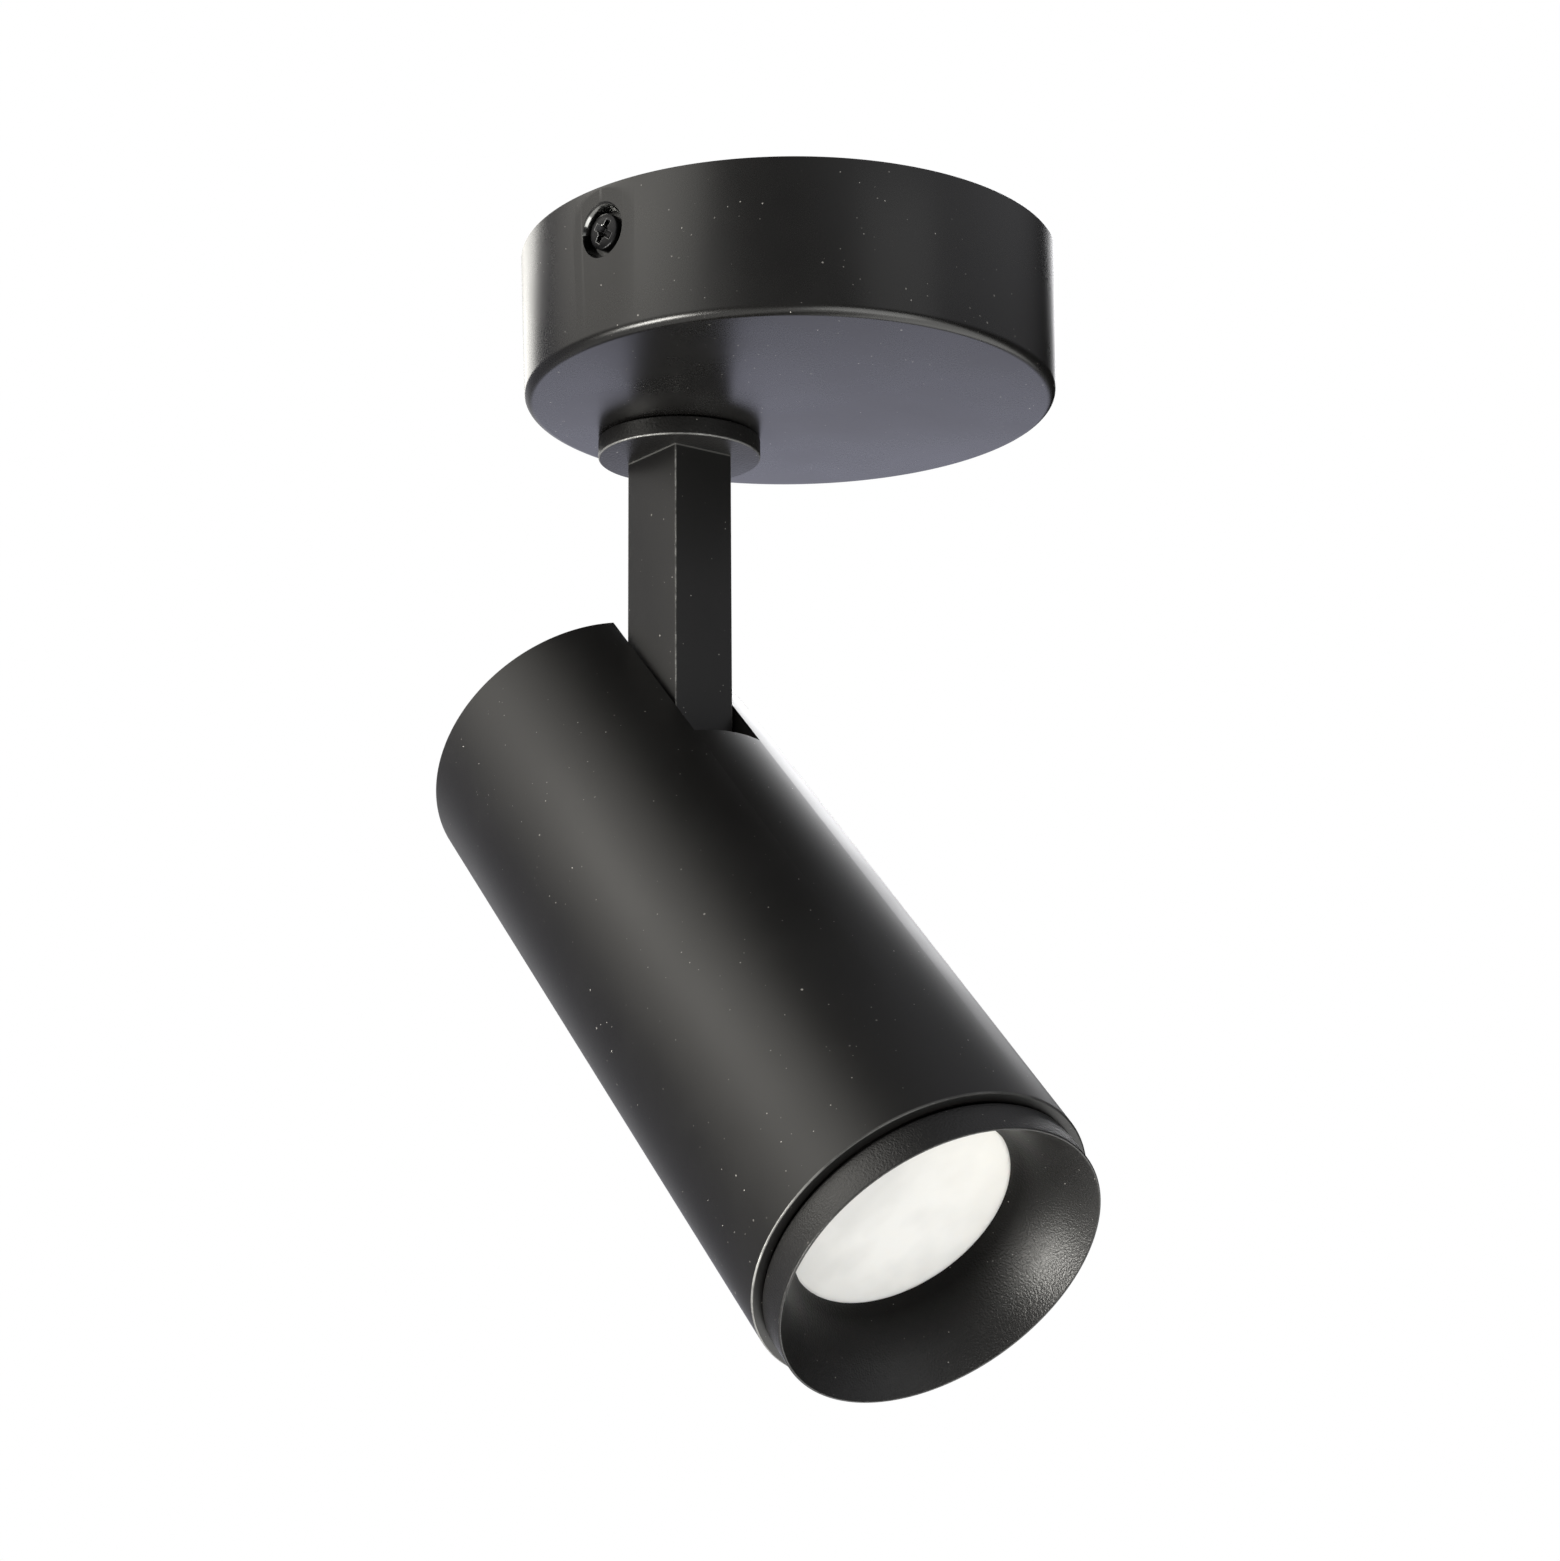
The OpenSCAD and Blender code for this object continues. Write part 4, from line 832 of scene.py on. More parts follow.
# A screw's thread, length, head's width and height, pitch, and head's outline if it isn't a pan head
SIDE_SCREW = (4 * MM, 8 * MM, 6.5 * MM, 2.2 * MM, 0.7 * MM, CHEESE_SHARES)
BOSS_R = 7.5 * MM
POST_R = 3.5 * MM
POST_H = 4 * MM
NIPPLE_R = 4 * MM
PIN_R = 1.25 * MM
PIN_OFF = 11 * MM
PIN_DEEP = 1.6 * MM
TOP_EDGE = 0.15 * MM
DRIVER_OFF = 22.3 * MM
DRIVER_SHARE = 0.654
DRIVER_CLEAR = 4.3 * MM
DRIVER_X = SWIVEL.x + DRIVER_OFF
DRIVER_LONG = 2 * ROOM_R * DRIVER_SHARE
DRIVER_WIDE = math.sqrt((ROOM_R - DRIVER_CLEAR) ** 2 - (DRIVER_LONG / 2) ** 2) - DRIVER_X
DRIVER_MID = DRIVER_X + DRIVER_WIDE / 2
TAB_OUT = 4 * MM
TAB_Y = DRIVER_LONG / 2 + TAB_OUT
TERMINAL_OFF = 4.3 * MM
TERMINAL_CLEAR = 5.4 * MM
TERMINAL_TAB = 4.5 * MM
TERMINAL_X = SWIVEL.x + TERMINAL_OFF
POLE = 6 * MM
POLES = 3
TERMINAL_Y = math.sqrt((ROOM_R - TERMINAL_CLEAR) ** 2 - TERMINAL_X**2) - POLES * POLE
SCREW_SPOTS = (
    (DRIVER_MID, TAB_Y),
    (DRIVER_MID, -TAB_Y),
    (TERMINAL_X - TERMINAL_TAB, TERMINAL_Y + POLES * POLE / 2),
)
outline = [
    (0, -CANOPY_H),
    *arc(CANOPY_LOW_R - CANOPY_ROUND, CANOPY_ROUND - CANOPY_H, CANOPY_ROUND, -90, 0, 12),
    *arc(CANOPY_R - TOP_EDGE, -TOP_EDGE, TOP_EDGE, 0, 90, 3),
]
hollow = [
    (CANOPY_R - CANOPY_WALL, 0),
    *arc(ROOM_R - CANOPY_ROUND, FLOOR_Z + CANOPY_ROUND, CANOPY_ROUND, 0, -90),
    (0, FLOOR_Z),
]
bosses = [
    carve(
        lathe([*outline, (0, 0)], ROUND_STEPS),
        [placed(rod(BOSS_R, -RECESS_LAND, RECESS_DEEP + OVER), place)],
        "INTERSECT",
    )
    for place in AT_SIDE
]
posts = [
    placed(rod(POST_R, FLOOR_Z - OVER, FLOOR_Z + POST_H), Matrix.Translation((*spot, 0)))
    for spot in SCREW_SPOTS
]
LIP = 0.12 * MM
RECESS_STEPS = 96
cone_slope = (RECESS_MOUTH_R - RECESS_SEAT_R) / RECESS_DEEP
recess = [
    (0, 0),
    (RECESS_SEAT_R, 0),
    (RECESS_MOUTH_R - cone_slope * 2 * LIP, RECESS_DEEP - 2 * LIP),
    (RECESS_MOUTH_R + LIP, RECESS_DEEP),
    (RECESS_MOUTH_R + LIP + OVER, RECESS_DEEP + OVER),
    (0, RECESS_DEEP + OVER),
]
cuts = [placed(lathe(recess, RECESS_STEPS), place) for place in AT_SIDE]
cuts += [placed(rod(SIDE_SCREW[0] / 2 + 2 * FIT, -RECESS_LAND - OVER, OVER), place) for place in AT_SIDE]
cuts.append(placed(rod(NIPPLE_R + FIT, -CANOPY_H - OVER, FLOOR_Z + OVER), Matrix.Translation(SWIVEL)))
pin_at = Matrix.Translation(SWIVEL - Vector((PIN_OFF, 0, 0)))
cuts.append(placed(rod(PIN_R, FLOOR_Z - PIN_DEEP, FLOOR_Z + OVER), pin_at))
piece(
    "canopy_shell",
    carve(carve(lathe([*outline, *hollow], ROUND_STEPS), [*bosses, *posts], "UNION"), cuts),
    Matrix(),
    CANOPY_COAT,
    "canopy_body",
    "black_coat",
    "canopy",
)

# Collar and bar
COLLAR_GAP = 0.3 * MM
COLLAR_TOP = -CANOPY_H - COLLAR_GAP
COLLAR_LOW = -CANOPY_H - COLLAR_H
COLLAR_EDGE = 0.35 * MM
WASHER_R = 12.5 * MM
WASHER_IN = 0.6 * MM
WASHER_TOP = COLLAR_TOP - WASHER_IN
BAR_POCKET = 1 * MM
BAR_TOP = COLLAR_LOW + BAR_POCKET
collar = lathe(
    [
        (NIPPLE_R + FIT, WASHER_TOP),
        (WASHER_R + FIT, WASHER_TOP),
        (WASHER_R + FIT, COLLAR_TOP),
        *arc(COLLAR_R - COLLAR_EDGE, COLLAR_TOP - COLLAR_EDGE, COLLAR_EDGE, 90, 0),
        *arc(COLLAR_R - COLLAR_EDGE, COLLAR_LOW + COLLAR_EDGE, COLLAR_EDGE, 0, -90),
        (NIPPLE_R + FIT, COLLAR_LOW),
    ],
    ROUND_STEPS,
)
piece(
    "collar",
    carve(collar, [box(BAR_W + 2 * FIT, BAR_T + 2 * FIT, COLLAR_LOW - OVER, BAR_TOP)]),
    ARM,
    COLLAR_COAT,
    "arm_body",
    "black_coat",
    "swivel_collar",
)

BAR_EDGE = 0.3 * MM
BAR_EDGE_STEPS = 5
BAR_END_STEPS = 48
BAR_BORE_R = 2.5 * MM
BUSH_R = 4 * MM
BUSH_IN = 3.3 * MM
PIVOT_IN = 3.6 * MM
BAR_END = HINGE_Z - BAR_W / 2
shaft = skin(
    [
        point(BAR_END),
        rounded(BAR_W, BAR_T, BAR_EDGE, BAR_END, BAR_EDGE_STEPS),
        rounded(BAR_W, BAR_T, BAR_EDGE, BAR_TOP, BAR_EDGE_STEPS),
        point(BAR_TOP),
    ]
)
half_turn = [math.pi * (1 + i / BAR_END_STEPS) for i in range(BAR_END_STEPS + 1)]
side_view = [(BAR_W / 2 * math.cos(turn), HINGE_Z + BAR_W / 2 * math.sin(turn)) for turn in half_turn]
side_view += [(BAR_W, HINGE_Z), (BAR_W, BAR_TOP + OVER), (-BAR_W, BAR_TOP + OVER), (-BAR_W, HINGE_Z)]
rounder = skin(
    [
        [Vector((0, -BAR_T, HINGE_Z))],
        [Vector((x, -BAR_T, z)) for x, z in side_view],
        [Vector((x, BAR_T, z)) for x, z in side_view],
        [Vector((0, BAR_T, HINGE_Z))],
    ]
)
ACROSS = Matrix.Translation((0, 0, HINGE_Z)) @ Matrix.Rotation(-TURN / 4, 4, "X")
bores = [
    rod(NIPPLE_R + FIT, COLLAR_LOW - 2 * COLLAR_H, BAR_TOP + OVER),
    rod(BAR_BORE_R, HINGE_Z - BAR_BORE_R, BAR_TOP + OVER),
    placed(rod(BAR_BORE_R, 0, BAR_T), ACROSS),
    placed(rod(BUSH_R + FIT, BAR_T / 2 - BUSH_IN - FIT, BAR_T), ACROSS),
    placed(rod(BAR_BORE_R + FIT, -BAR_T, PIVOT_IN + FIT - BAR_T / 2), ACROSS),
]
piece(
    "bar",
    carve(carve(shaft, [rounder], "INTERSECT"), bores),
    ARM,
    BAR_COAT,
    "arm_body",
    "black_coat",
    "arm",
)

# Tube of the head, with the slot for the bar
BORE_STEP = 1 * MM
BORE_STEP_R = BORE_R - BORE_STEP
CAP_IN = 1 * MM
CAP_T = 3 * MM
SLOT_W = 14.8 * MM
SLOT_CLEAR = 0.4 * MM
SLOT_LEN = HINGE_BACK + BAR_W / 2 + SLOT_CLEAR
SINK_CLEAR = 4 * MM
SINK_Z = -(HINGE_BACK + BAR_W / 2 + SINK_CLEAR)
SNAP_BACK = 6 * MM
SNAP_W = 2 * MM
SNAP_DEEP = 0.5 * MM
REAR_EDGE = 0.15 * MM
tube = lathe(
    [
        *arc(TUBE_R - REAR_EDGE, -REAR_EDGE, REAR_EDGE, 90, 0, 3),
        *arc(TUBE_R - TUBE_EDGE, TUBE_EDGE - TUBE_LEN, TUBE_EDGE, 0, -90, 8),
        (BORE_R, -TUBE_LEN),
        (BORE_R, SNAP_BACK - SNAP_W - TUBE_LEN),
        (BORE_R + SNAP_DEEP, SNAP_BACK - SNAP_W - TUBE_LEN),
        (BORE_R + SNAP_DEEP, SNAP_BACK - TUBE_LEN),
        (BORE_R, SNAP_BACK - TUBE_LEN),
        (BORE_R, SINK_Z),
        (BORE_STEP_R, SINK_Z),
        (BORE_STEP_R, -CAP_IN - CAP_T),
        (BORE_R, -CAP_IN - CAP_T),
        (BORE_R, 0),
    ],
    ROUND_STEPS,
)
piece(
    "tube",
    carve(tube, [box(2 * TUBE_R, SLOT_W, -SLOT_LEN, OVER, (TUBE_R, 0))]),
    HEAD,
    TUBE_COAT,
    "head_body",
    "black_coat",
    "head_tube",
)

# Bezel, from its cone round the front edge to the band, the neck and the sprung skirt
BEZEL_FRONT = -(TUBE_LEN + BEZEL_OUT)
BAND_STEP = 1.5 * MM
BAND_R = TUBE_R - BAND_STEP
BAND_GAP = 0.6 * MM
BAND_BACK = -(TUBE_LEN + BAND_GAP)
BAND_ROUND = 0.5 * MM
RIM_W = 0.5 * MM
CONE_DEEP = 13.3 * MM
CONE_W = 8.5 * MM
CONE_WALL = 1.6 * MM
CONE_FOOT = BEZEL_FRONT + CONE_DEEP
APERTURE_R = BAND_R - RIM_W - CONE_W
CONE_RISE = CONE_DEEP / CONE_W
LIP_H = 1.2 * MM
LENS_Z = CONE_FOOT + LIP_H
LENS_BACK_IN = 18.6 * MM
LENS_BACK = BEZEL_FRONT + LENS_BACK_IN
LENS_GRIP = 3 * MM
LENS_R = APERTURE_R + LENS_GRIP
LENS_SEAT_R = LENS_R + FIT
RING_WALL = 1.6 * MM
RING_R = LENS_SEAT_R + RING_WALL
RING_RISE = 1.4 * MM
RING_TOP = LENS_BACK + RING_RISE
NECK_STEP = 1.7 * MM
NECK_R = BAND_R - NECK_STEP
NECK_IN = 1.6 * MM
NECK_TOP = NECK_IN - TUBE_LEN
SKIRT_GAP = 0.2 * MM
SKIRT_R = BORE_R - SKIRT_GAP
SKIRT_WALL = 1.5 * MM
SKIRT_IN_R = NECK_R - SKIRT_WALL
SKIRT_LONG = 14 * MM
SKIRT_TOP = SKIRT_LONG - TUBE_LEN
BEAD_Z = SNAP_BACK - SNAP_W / 2 - TUBE_LEN
BEAD_H = 0.45 * MM
BEAD_W = 1.4 * MM
SKIRT_CUTS = 8
SKIRT_CUT_W = 2 * MM
SKIRT_CUT_IN = 3 * MM


def cone_back(radius):
    """Height of the cone's rear face at a radius."""
    return CONE_FOOT - CONE_RISE * (radius - CONE_WALL - APERTURE_R)


bezel = lathe(
    [
        (APERTURE_R, CONE_FOOT),
        *arc(BAND_R - RIM_W / 2, BEZEL_FRONT + RIM_W / 2, RIM_W / 2, 210, 360, 8),
        *arc(BAND_R - BAND_ROUND, BAND_BACK - BAND_ROUND, BAND_ROUND, 0, 90, 8),
        (NECK_R, BAND_BACK),
        (NECK_R, NECK_TOP),
        (SKIRT_R, NECK_TOP),
        (SKIRT_R, BEAD_Z - BEAD_W / 2),
        (SKIRT_R + BEAD_H, BEAD_Z),
        (SKIRT_R, BEAD_Z + BEAD_W / 2),
        (SKIRT_R, SKIRT_TOP),
        (SKIRT_IN_R, SKIRT_TOP),
        (SKIRT_IN_R, cone_back(SKIRT_IN_R)),
        (RING_R, cone_back(RING_R)),
        (RING_R, RING_TOP),
        (LENS_SEAT_R, RING_TOP),
        (LENS_SEAT_R, LENS_Z),
        (APERTURE_R, LENS_Z),
    ],
    ROUND_STEPS,
)
cut_at = ((TUBE_R + RING_R) / 2, 0)
skirt_cuts = [
    placed(
        box(TUBE_R - RING_R, SKIRT_CUT_W, SKIRT_CUT_IN - TUBE_LEN, SKIRT_TOP + OVER, cut_at),
        Matrix.Rotation(TURN * (i + 0.5) / SKIRT_CUTS, 4, "Z"),
    )
    for i in range(SKIRT_CUTS)
]
piece("front_ring", carve(bezel, skirt_cuts), HEAD, SATIN, "head_body", "black_satin_coat", "bezel")
LENS_EDGE = 0.3 * MM
diffuser = lathe(
    [
        (0, LENS_Z),
        *arc(LENS_R - LENS_EDGE, LENS_Z + LENS_EDGE, LENS_EDGE, -90, 0),
        *arc(LENS_R - LENS_EDGE, LENS_BACK - LENS_EDGE, LENS_EDGE, 0, 90),
        (0, LENS_BACK),
    ],
    ROUND_STEPS,
)
piece("diffuser", diffuser, HEAD, OPAL, "head_body", "frosted_lens", "lens")

# Side screws and the nuts behind them
BRACKET_T = 1.5 * MM
NUT_SIDE = 7 * MM
NUT_T = 3.2 * MM
SCREW_TURN = Matrix.Rotation(math.radians(8), 4, "Z")
NUT_DOWN = Matrix.Translation((0, 0, -RECESS_LAND - BRACKET_T - NUT_T))
piece(
    "side_screws",
    merge(*(placed(pan_screw(*SIDE_SCREW), place @ SCREW_TURN) for place in AT_SIDE)),
    Matrix(),
    BLACK_ZINC,
    "canopy_body",
    "black_zinc",
    "canopy_screws",
)
piece(
    "weld_nuts",
    merge(*(placed(hex_nut(NUT_SIDE, NUT_T, SIDE_SCREW[0]), place @ NUT_DOWN) for place in AT_SIDE)),
    Matrix(),
    ZINC,
    "canopy_body",
    "zinc_steel",
    "bracket_nuts",
)

# Driver, terminal block and the screws that hold them
DRIVER_H = 15 * MM
DRIVER_TOP = FLOOR_Z + DRIVER_H
LID_T = 1.6 * MM
LID_EDGE = 0.4 * MM
LID_FRAME = 3.4 * MM
CORNER_R = 3 * MM
SMALL_SCREW = (3 * MM, 6 * MM, 5.6 * MM, 1.9 * MM, 0.5 * MM)
TAB_H = 6 * MM
TAB_TOP = FLOOR_Z + TAB_H
TERMINAL_WIDE = 12 * MM
piece(
    "post_screws",
    merge(
        *(
            placed(pan_screw(*SMALL_SCREW), Matrix.Translation((x, y, TAB_TOP)) @ Matrix.Rotation(i, 4, "Z"))
            for i, (x, y) in enumerate(SCREW_SPOTS)
        )
    ),
    Matrix(),
    ZINC,
    "canopy_body",
    "zinc_steel",
    "floor_screws",
)


def lid_ring(inset, height):
    return rounded(DRIVER_WIDE - 2 * inset, DRIVER_LONG - 2 * inset, max(CORNER_R - inset, LID_EDGE), height)


# Grooves across the lid at both ends
GROOVE_LONG_SHARE = 0.42
GROOVE_ROUND_SHARE = 0.48
GROOVE_LONG = GROOVE_LONG_SHARE * DRIVER_WIDE
GROOVE_WIDE = 1.3 * MM
GROOVE_ROUND = GROOVE_ROUND_SHARE * GROOVE_WIDE
GROOVE_STEP = 3 * MM
GROOVE_DEEP = 0.9 * MM
GROOVE_EDGE = 8 * MM
GROOVES = 4


def groove():
    """Tool that cuts a groove in the middle of the lid."""
    low = LID_T - GROOVE_DEEP
    high = 2 * LID_T
    ends = [rounded(GROOVE_LONG, GROOVE_WIDE, GROOVE_ROUND, z) for z in (low, high)]
    return skin([point(low), *ends, point(high)])


lid = carve(
    skin(
        [
            point(0),
            lid_ring(0, 0),
            lid_ring(0, LID_T - LID_EDGE),
            lid_ring(LID_EDGE, LID_T),
            lid_ring(LID_FRAME, LID_T),
            lid_ring(LID_FRAME + LID_EDGE, LID_T - LID_EDGE),
            point(LID_T - LID_EDGE),
        ]
    ),
    [
        placed(groove(), Matrix.Translation((0, side * (DRIVER_LONG / 2 - GROOVE_EDGE - i * GROOVE_STEP), 0)))
        for side in (-1, 1)
        for i in range(GROOVES)
    ],
)
piece(
    "driver_cover",
    lid,
    Matrix.Translation((DRIVER_MID, 0, DRIVER_TOP)),
    BLACK_PLASTIC,
    "canopy_body",
    "black_plastic",
    "driver_lid",
)

LEAD_R = 1 * MM
LEAD_H = 4.5 * MM
LEAD_Z = FLOOR_Z + LEAD_H
LEAD_IN = 3 * MM
LEAD_BOW = 0.5 * MM
LEAD_STEPS = 12
LEAD_START = TERMINAL_X + TERMINAL_WIDE - LEAD_IN
for pole, (name, mat) in enumerate((("live_lead", BROWN), ("neutral_lead", BLUE))):
    path = []
    for i in range(LEAD_STEPS + 1):
        share = i / LEAD_STEPS
        bow = LEAD_BOW * math.sin(math.pi * share) ** 2 * (1, -1)[pole]
        y = TERMINAL_Y + POLE * (pole + 0.5) + bow
        path.append(Vector((LEAD_START + (DRIVER_X - LEAD_START) * share, y, LEAD_Z)))
    piece(name, sweep(path, LEAD_R), Matrix(), mat, "canopy_body", "brown_sheath", "supply_leads")

# Swivel: threaded nipple and its nut
NIPPLE_PITCH = 1 * MM
NIPPLE_BORE = 2.3 * MM
NIPPLE_FOOT = -40 * MM
NIPPLE_STUB = 0.7 * MM
NUT_UP = 3.1 * MM
NUT_Z = FLOOR_Z + NUT_UP
NUT_TURN = math.radians(17)
# Width, height and hole
SWIVEL_NUT = (13 * MM, 4 * MM, 2 * NIPPLE_R)
NIPPLE_TOP = NUT_Z + SWIVEL_NUT[1] + NIPPLE_STUB
FLAT_X = 3.3 * MM
flats = [
    box(2 * NIPPLE_R, 4 * NIPPLE_R, FLOOR_Z, NIPPLE_TOP + OVER, (side * (FLAT_X + NIPPLE_R), 0))
    for side in (-1, 1)
]
bore = rod(NIPPLE_BORE, NIPPLE_FOOT - OVER, NIPPLE_TOP + OVER, 40)
piece(
    "threaded_nipple",
    carve(thread(NIPPLE_R, NIPPLE_PITCH, NIPPLE_FOOT, NIPPLE_TOP, 56), [bore, *flats]),
    ARM,
    ZINC,
    "arm_body",
    "zinc_steel",
    "swivel_nipple",
)
piece(
    "nipple_nut",
    placed(hex_nut(*SWIVEL_NUT), Matrix.Rotation(NUT_TURN, 4, "Z")),
    ARM @ Matrix.Translation((0, 0, NUT_Z)),
    ZINC,
    "arm_body",
    "zinc_steel",
    "swivel_nut",
)

# Screws of the rear cap
CAP_SCREW = (3 * MM, 9 * MM, 5.8 * MM, 1.6 * MM, 0.5 * MM)
CAP_SCREW_EDGE = 8.2 * MM
CAP_SCREW_R = BORE_R - CAP_SCREW_EDGE
CAP_SCREW_TURN = math.radians(125)
CAP_CROSS_TURN = 0.4
piece(
    "cap_screws",
    merge(
        *(
            placed(
                flat_screw(*CAP_SCREW),
                Matrix.Translation(polar(CAP_SCREW_R, side * CAP_SCREW_TURN, -CAP_IN))
                @ Matrix.Rotation(CAP_CROSS_TURN * side, 4, "Z"),
            )
            for side in (-1, 1)
        )
    ),
    HEAD,
    BLACK_ZINC,
    "head_body",
    "black_zinc",
    "rear_cap_screws",
)

# ---------------------------------------------------------------- camera

CAMERA_AT = Vector((355.31, -405.75, -213.10)) * MM
CAMERA_TURN = math.radians(41.47)
CAMERA_RISE = math.radians(11.955)
CAMERA_ROLL = math.radians(-0.487)
CAMERA_LENS = 70.30
CAMERA_SENSOR = 36
CAMERA_NEAR = 10 * MM

camera = bpy.data.objects.new("camera", bpy.data.cameras.new("camera"))
camera.data.lens = CAMERA_LENS
camera.data.sensor_width = CAMERA_SENSOR
camera.data.clip_start = CAMERA_NEAR
camera.matrix_world = (
    Matrix.Translation(CAMERA_AT)
    @ Matrix.Rotation(CAMERA_TURN, 4, "Z")
    @ Matrix.Rotation(math.pi / 2 + CAMERA_RISE, 4, "X")
    @ Matrix.Rotation(CAMERA_ROLL, 4, "Z")
)
bpy.context.scene.collection.objects.link(camera)
bpy.context.scene.camera = camera

# ---------------------------------------------------------------- studio

MIDDLE = Vector((0.0, 0.0, -105 * MM))
LAMP_FAR = 1.4
NEAR_AT = TUBE_MOUTH + UPWARD * TUBE_R
NEAR_FAR = 0.42
NEAR_SPREAD = math.radians(30)
WARM = (1.03, 1.01, 0.95)
PLAIN = (1.0, 1.0, 0.97)


def panel(name, azimuth, rise, wide, tall, level, tone=PLAIN, spot=MIDDLE, far=LAMP_FAR, spread=math.pi):
    """Softbox that faces a spot on the object.

    Its place, width and height are in degrees as seen from there, its level is its face's brightness."""
    data = bpy.data.lights.new(name, "AREA")
    data.shape = "RECTANGLE"
    data.size = 2 * far * math.tan(math.radians(wide / 2))
    data.size_y = 2 * far * math.tan(math.radians(tall / 2))
    data.energy = math.pi * data.size * data.size_y * level
    data.color = tone
    data.spread = spread
    lamp = bpy.data.objects.new(name, data)
    way = toward(azimuth, rise)
    lamp.location = spot + way * far
    lamp.rotation_mode = "QUATERNION"
    lamp.rotation_quaternion = way.to_track_quat("Z", "Y")
    bpy.context.scene.collection.objects.link(lamp)
    return lamp


panel("low_box", 80, -38, 40, 40, 3.4)
panel("under_box", 150, -55, 70, 45, 1.5)
panel("key_box", -20, -29, 24, 18, 32.0, WARM)
panel("front_box", -12, 30, 30, 50, 0.7, WARM)
panel("side_box", 88, 20, 30, 30, 0.42)
panel("rim_box", -110, 28, 22, 22, 3.0, WARM)
panel("near_box", -47, 36, 30, 30, 0.075, WARM, NEAR_AT, NEAR_FAR, NEAR_SPREAD)

# Pale floor well below the part, whose edge fades into the white behind it
FLOOR_DROP = 1.5
FLOOR_R = 2.6
FLOOR_FADE = 1.2
FLOOR_STEPS = 96
FLOOR_MOTTLE = 0.4
FLOOR_TONES = ((0.80, 0.80, 0.79), (0.86, 0.86, 0.85))
FLOOR_ROUGH = (0.75, 0.9)
# How much of the floor the camera sees as plain white
FLOOR_WHITE = 0.85

floor_mesh = bpy.data.meshes.new("floor")
floor_bm = bmesh.new()
bmesh.ops.create_circle(floor_bm, cap_ends=True, radius=FLOOR_R, segments=FLOOR_STEPS)
bmesh.ops.translate(floor_bm, verts=floor_bm.verts, vec=(0, 0, -FLOOR_DROP))
floor_bm.to_mesh(floor_mesh)
floor_bm.free()
floor = bpy.data.objects.new("floor", floor_mesh)
bpy.context.scene.collection.objects.link(floor)

pale = Paint("pale_floor")
mottle = pale.noise(FLOOR_MOTTLE, 4.0)
pale.finish(pale.mix(pale.span(mottle, *SPREAD), *FLOOR_TONES), pale.span(mottle, *SPREAD, *FLOOR_ROUGH))
lit = pale.node("Emission")
lit.inputs["Color"].default_value = (1, 1, 1, 1)
lit.inputs["Strength"].default_value = 1.0
ray = pale.node("LightPath")
seen = pale.node("MixShader")
clear = pale.node("BsdfTransparent")
edge_mix = pale.node("MixShader")
pale.join(pale.product(ray.outputs["Is Camera Ray"], FLOOR_WHITE), seen.inputs["Fac"])
pale.join(pale.bsdf.outputs[0], seen.inputs[1])
pale.join(lit.outputs[0], seen.inputs[2])
far_out = pale.off_axis(UP, Vector())
pale.join(pale.span(far_out, FLOOR_R - FLOOR_FADE, FLOOR_R), edge_mix.inputs["Fac"])
pale.join(seen.outputs[0], edge_mix.inputs[1])
pale.join(clear.outputs[0], edge_mix.inputs[2])
pale.join(edge_mix.outputs[0], pale.tree.nodes["Material Output"].inputs["Surface"])
floor.data.materials.append(pale.mat)

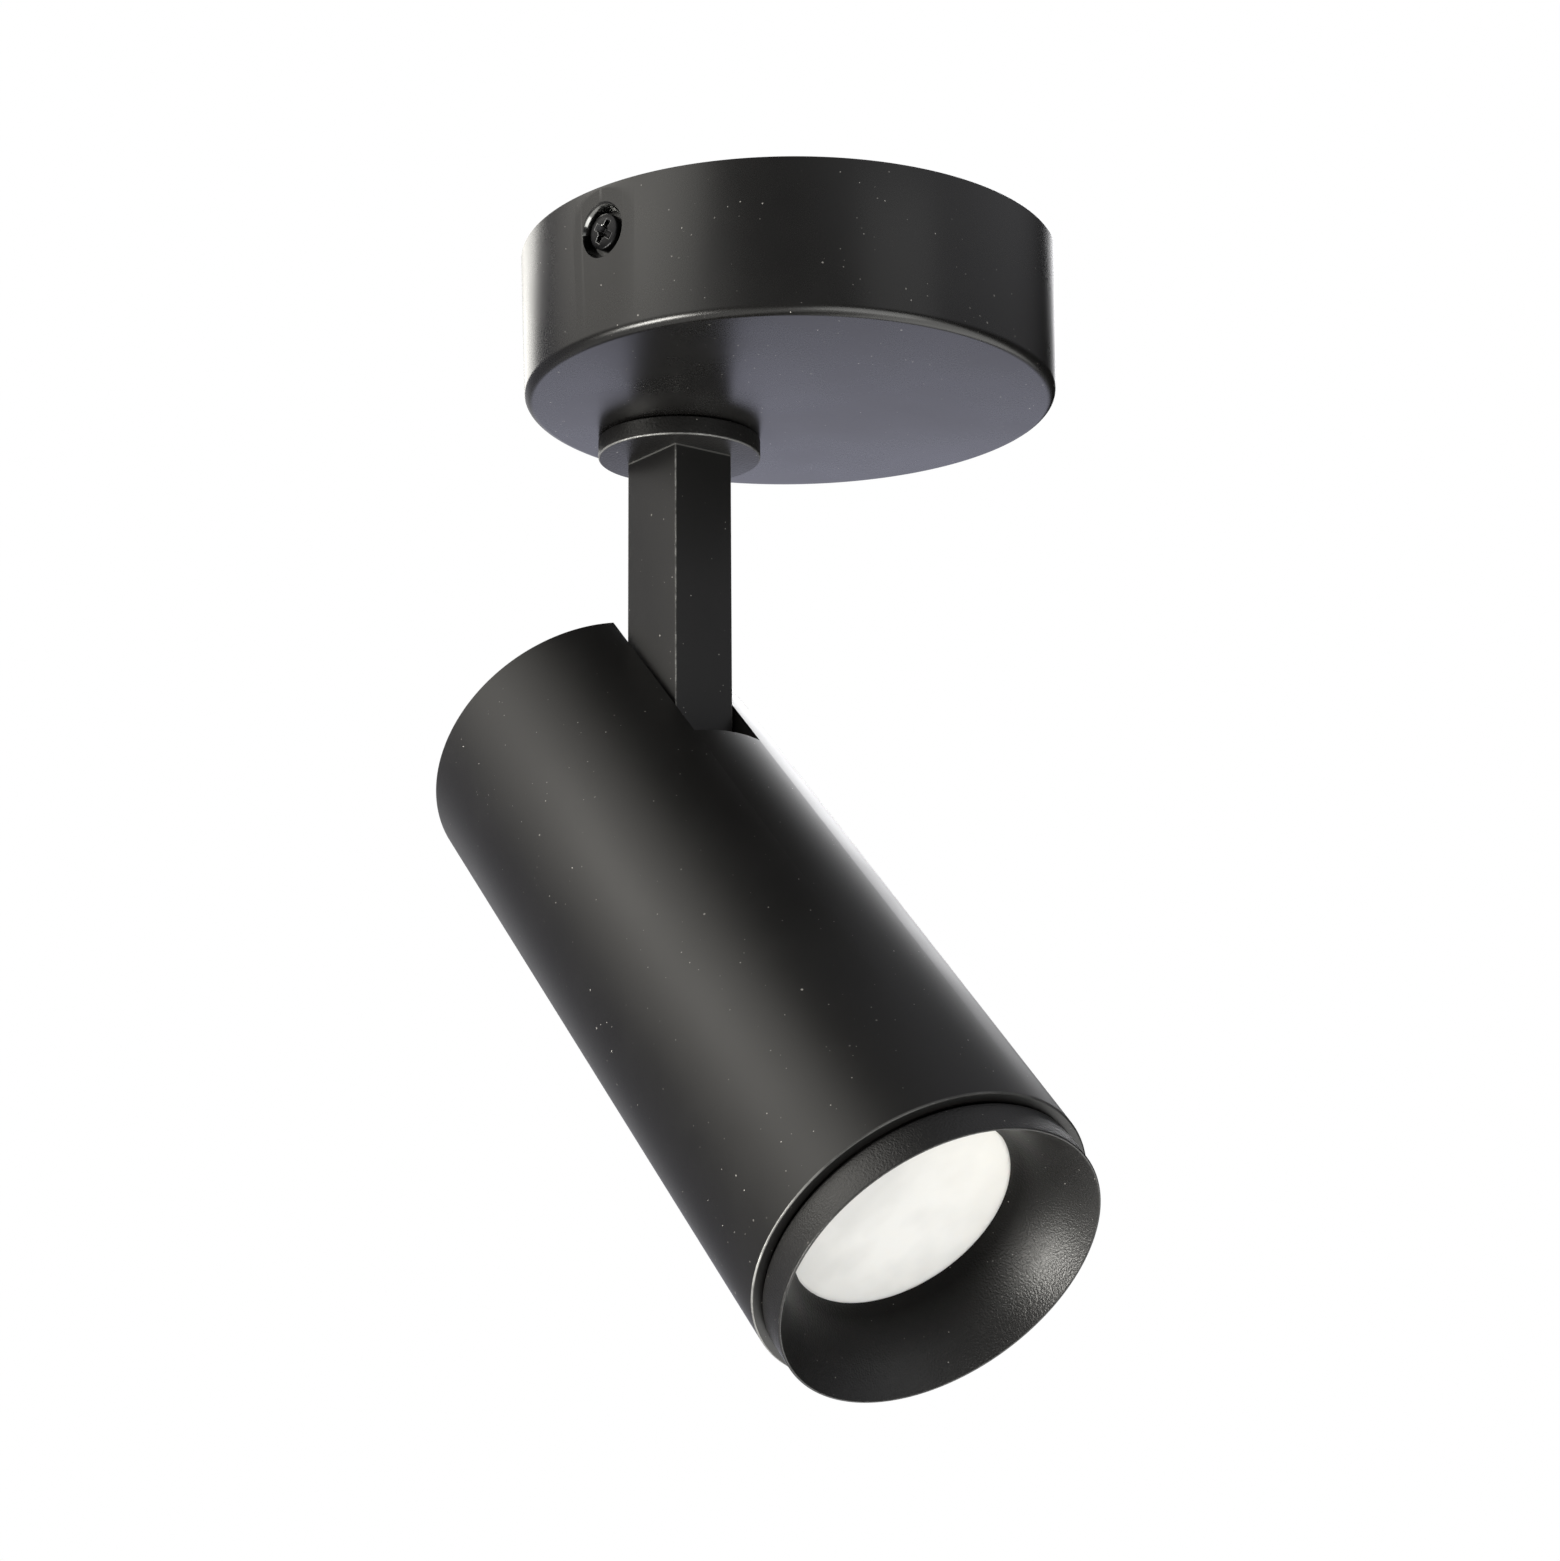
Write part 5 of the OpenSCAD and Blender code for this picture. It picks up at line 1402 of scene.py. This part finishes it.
# White where the camera looks past the part, and for all other light a dark room with soft bright
# patches, each by its azimuth and rise, its reach and its tone
DARK = (0.004, 0.004, 0.005)
GLOWS = (
    (-43, 36, 42, (1.40, 1.36, 1.28)),
    (-8, 14, 32, (0.70, 0.69, 0.66)),
    (-100, -10, 60, (0.17, 0.17, 0.20)),
    (120, 45, 60, (0.50, 0.50, 0.52)),
    (41, 25, 60, (0.20, 0.20, 0.20)),
    (-147, 30, 19, (6.4, 6.4, 6.5)),
    (-122, 4, 22, (0.5, 0.5, 0.5)),
    (-140, -13, 22, (0.80, 0.81, 1.0)),
)
world = bpy.data.worlds.new("studio")
world.use_nodes = True
nodes = world.node_tree.nodes
links = world.node_tree.links
room = nodes["Background"]
seen_at = nodes.new("ShaderNodeTexCoord").outputs["Generated"]
glow = None
for azimuth, rise, reach, tone in GLOWS:
    near = nodes.new("ShaderNodeVectorMath")
    near.operation = "DOT_PRODUCT"
    near.inputs[1].default_value = toward(azimuth, rise)
    links.new(seen_at, near.inputs[0])
    soft = nodes.new("ShaderNodeMapRange")
    soft.interpolation_type = "SMOOTHSTEP"
    soft.inputs["From Min"].default_value = math.cos(math.radians(reach))
    links.new(near.outputs["Value"], soft.inputs["Value"])
    lit_part = nodes.new("ShaderNodeVectorMath")
    lit_part.operation = "MULTIPLY_ADD"
    lit_part.inputs[1].default_value = tone
    links.new(soft.outputs["Result"], lit_part.inputs[0])
    if glow is None:
        lit_part.inputs[2].default_value = DARK
    else:
        links.new(glow, lit_part.inputs[2])
    glow = lit_part.outputs["Vector"]
links.new(glow, room.inputs["Color"])
white = nodes.new("ShaderNodeBackground")
white.inputs["Color"].default_value = (1, 1, 1, 1)
white.inputs["Strength"].default_value = 1.0
blend = nodes.new("ShaderNodeMixShader")
links.new(nodes.new("ShaderNodeLightPath").outputs["Is Camera Ray"], blend.inputs["Fac"])
links.new(room.outputs[0], blend.inputs[1])
links.new(white.outputs[0], blend.inputs[2])
links.new(blend.outputs[0], nodes["World Output"].inputs["Surface"])
bpy.context.scene.world = world
bpy.context.scene.view_settings.view_transform = "Standard"
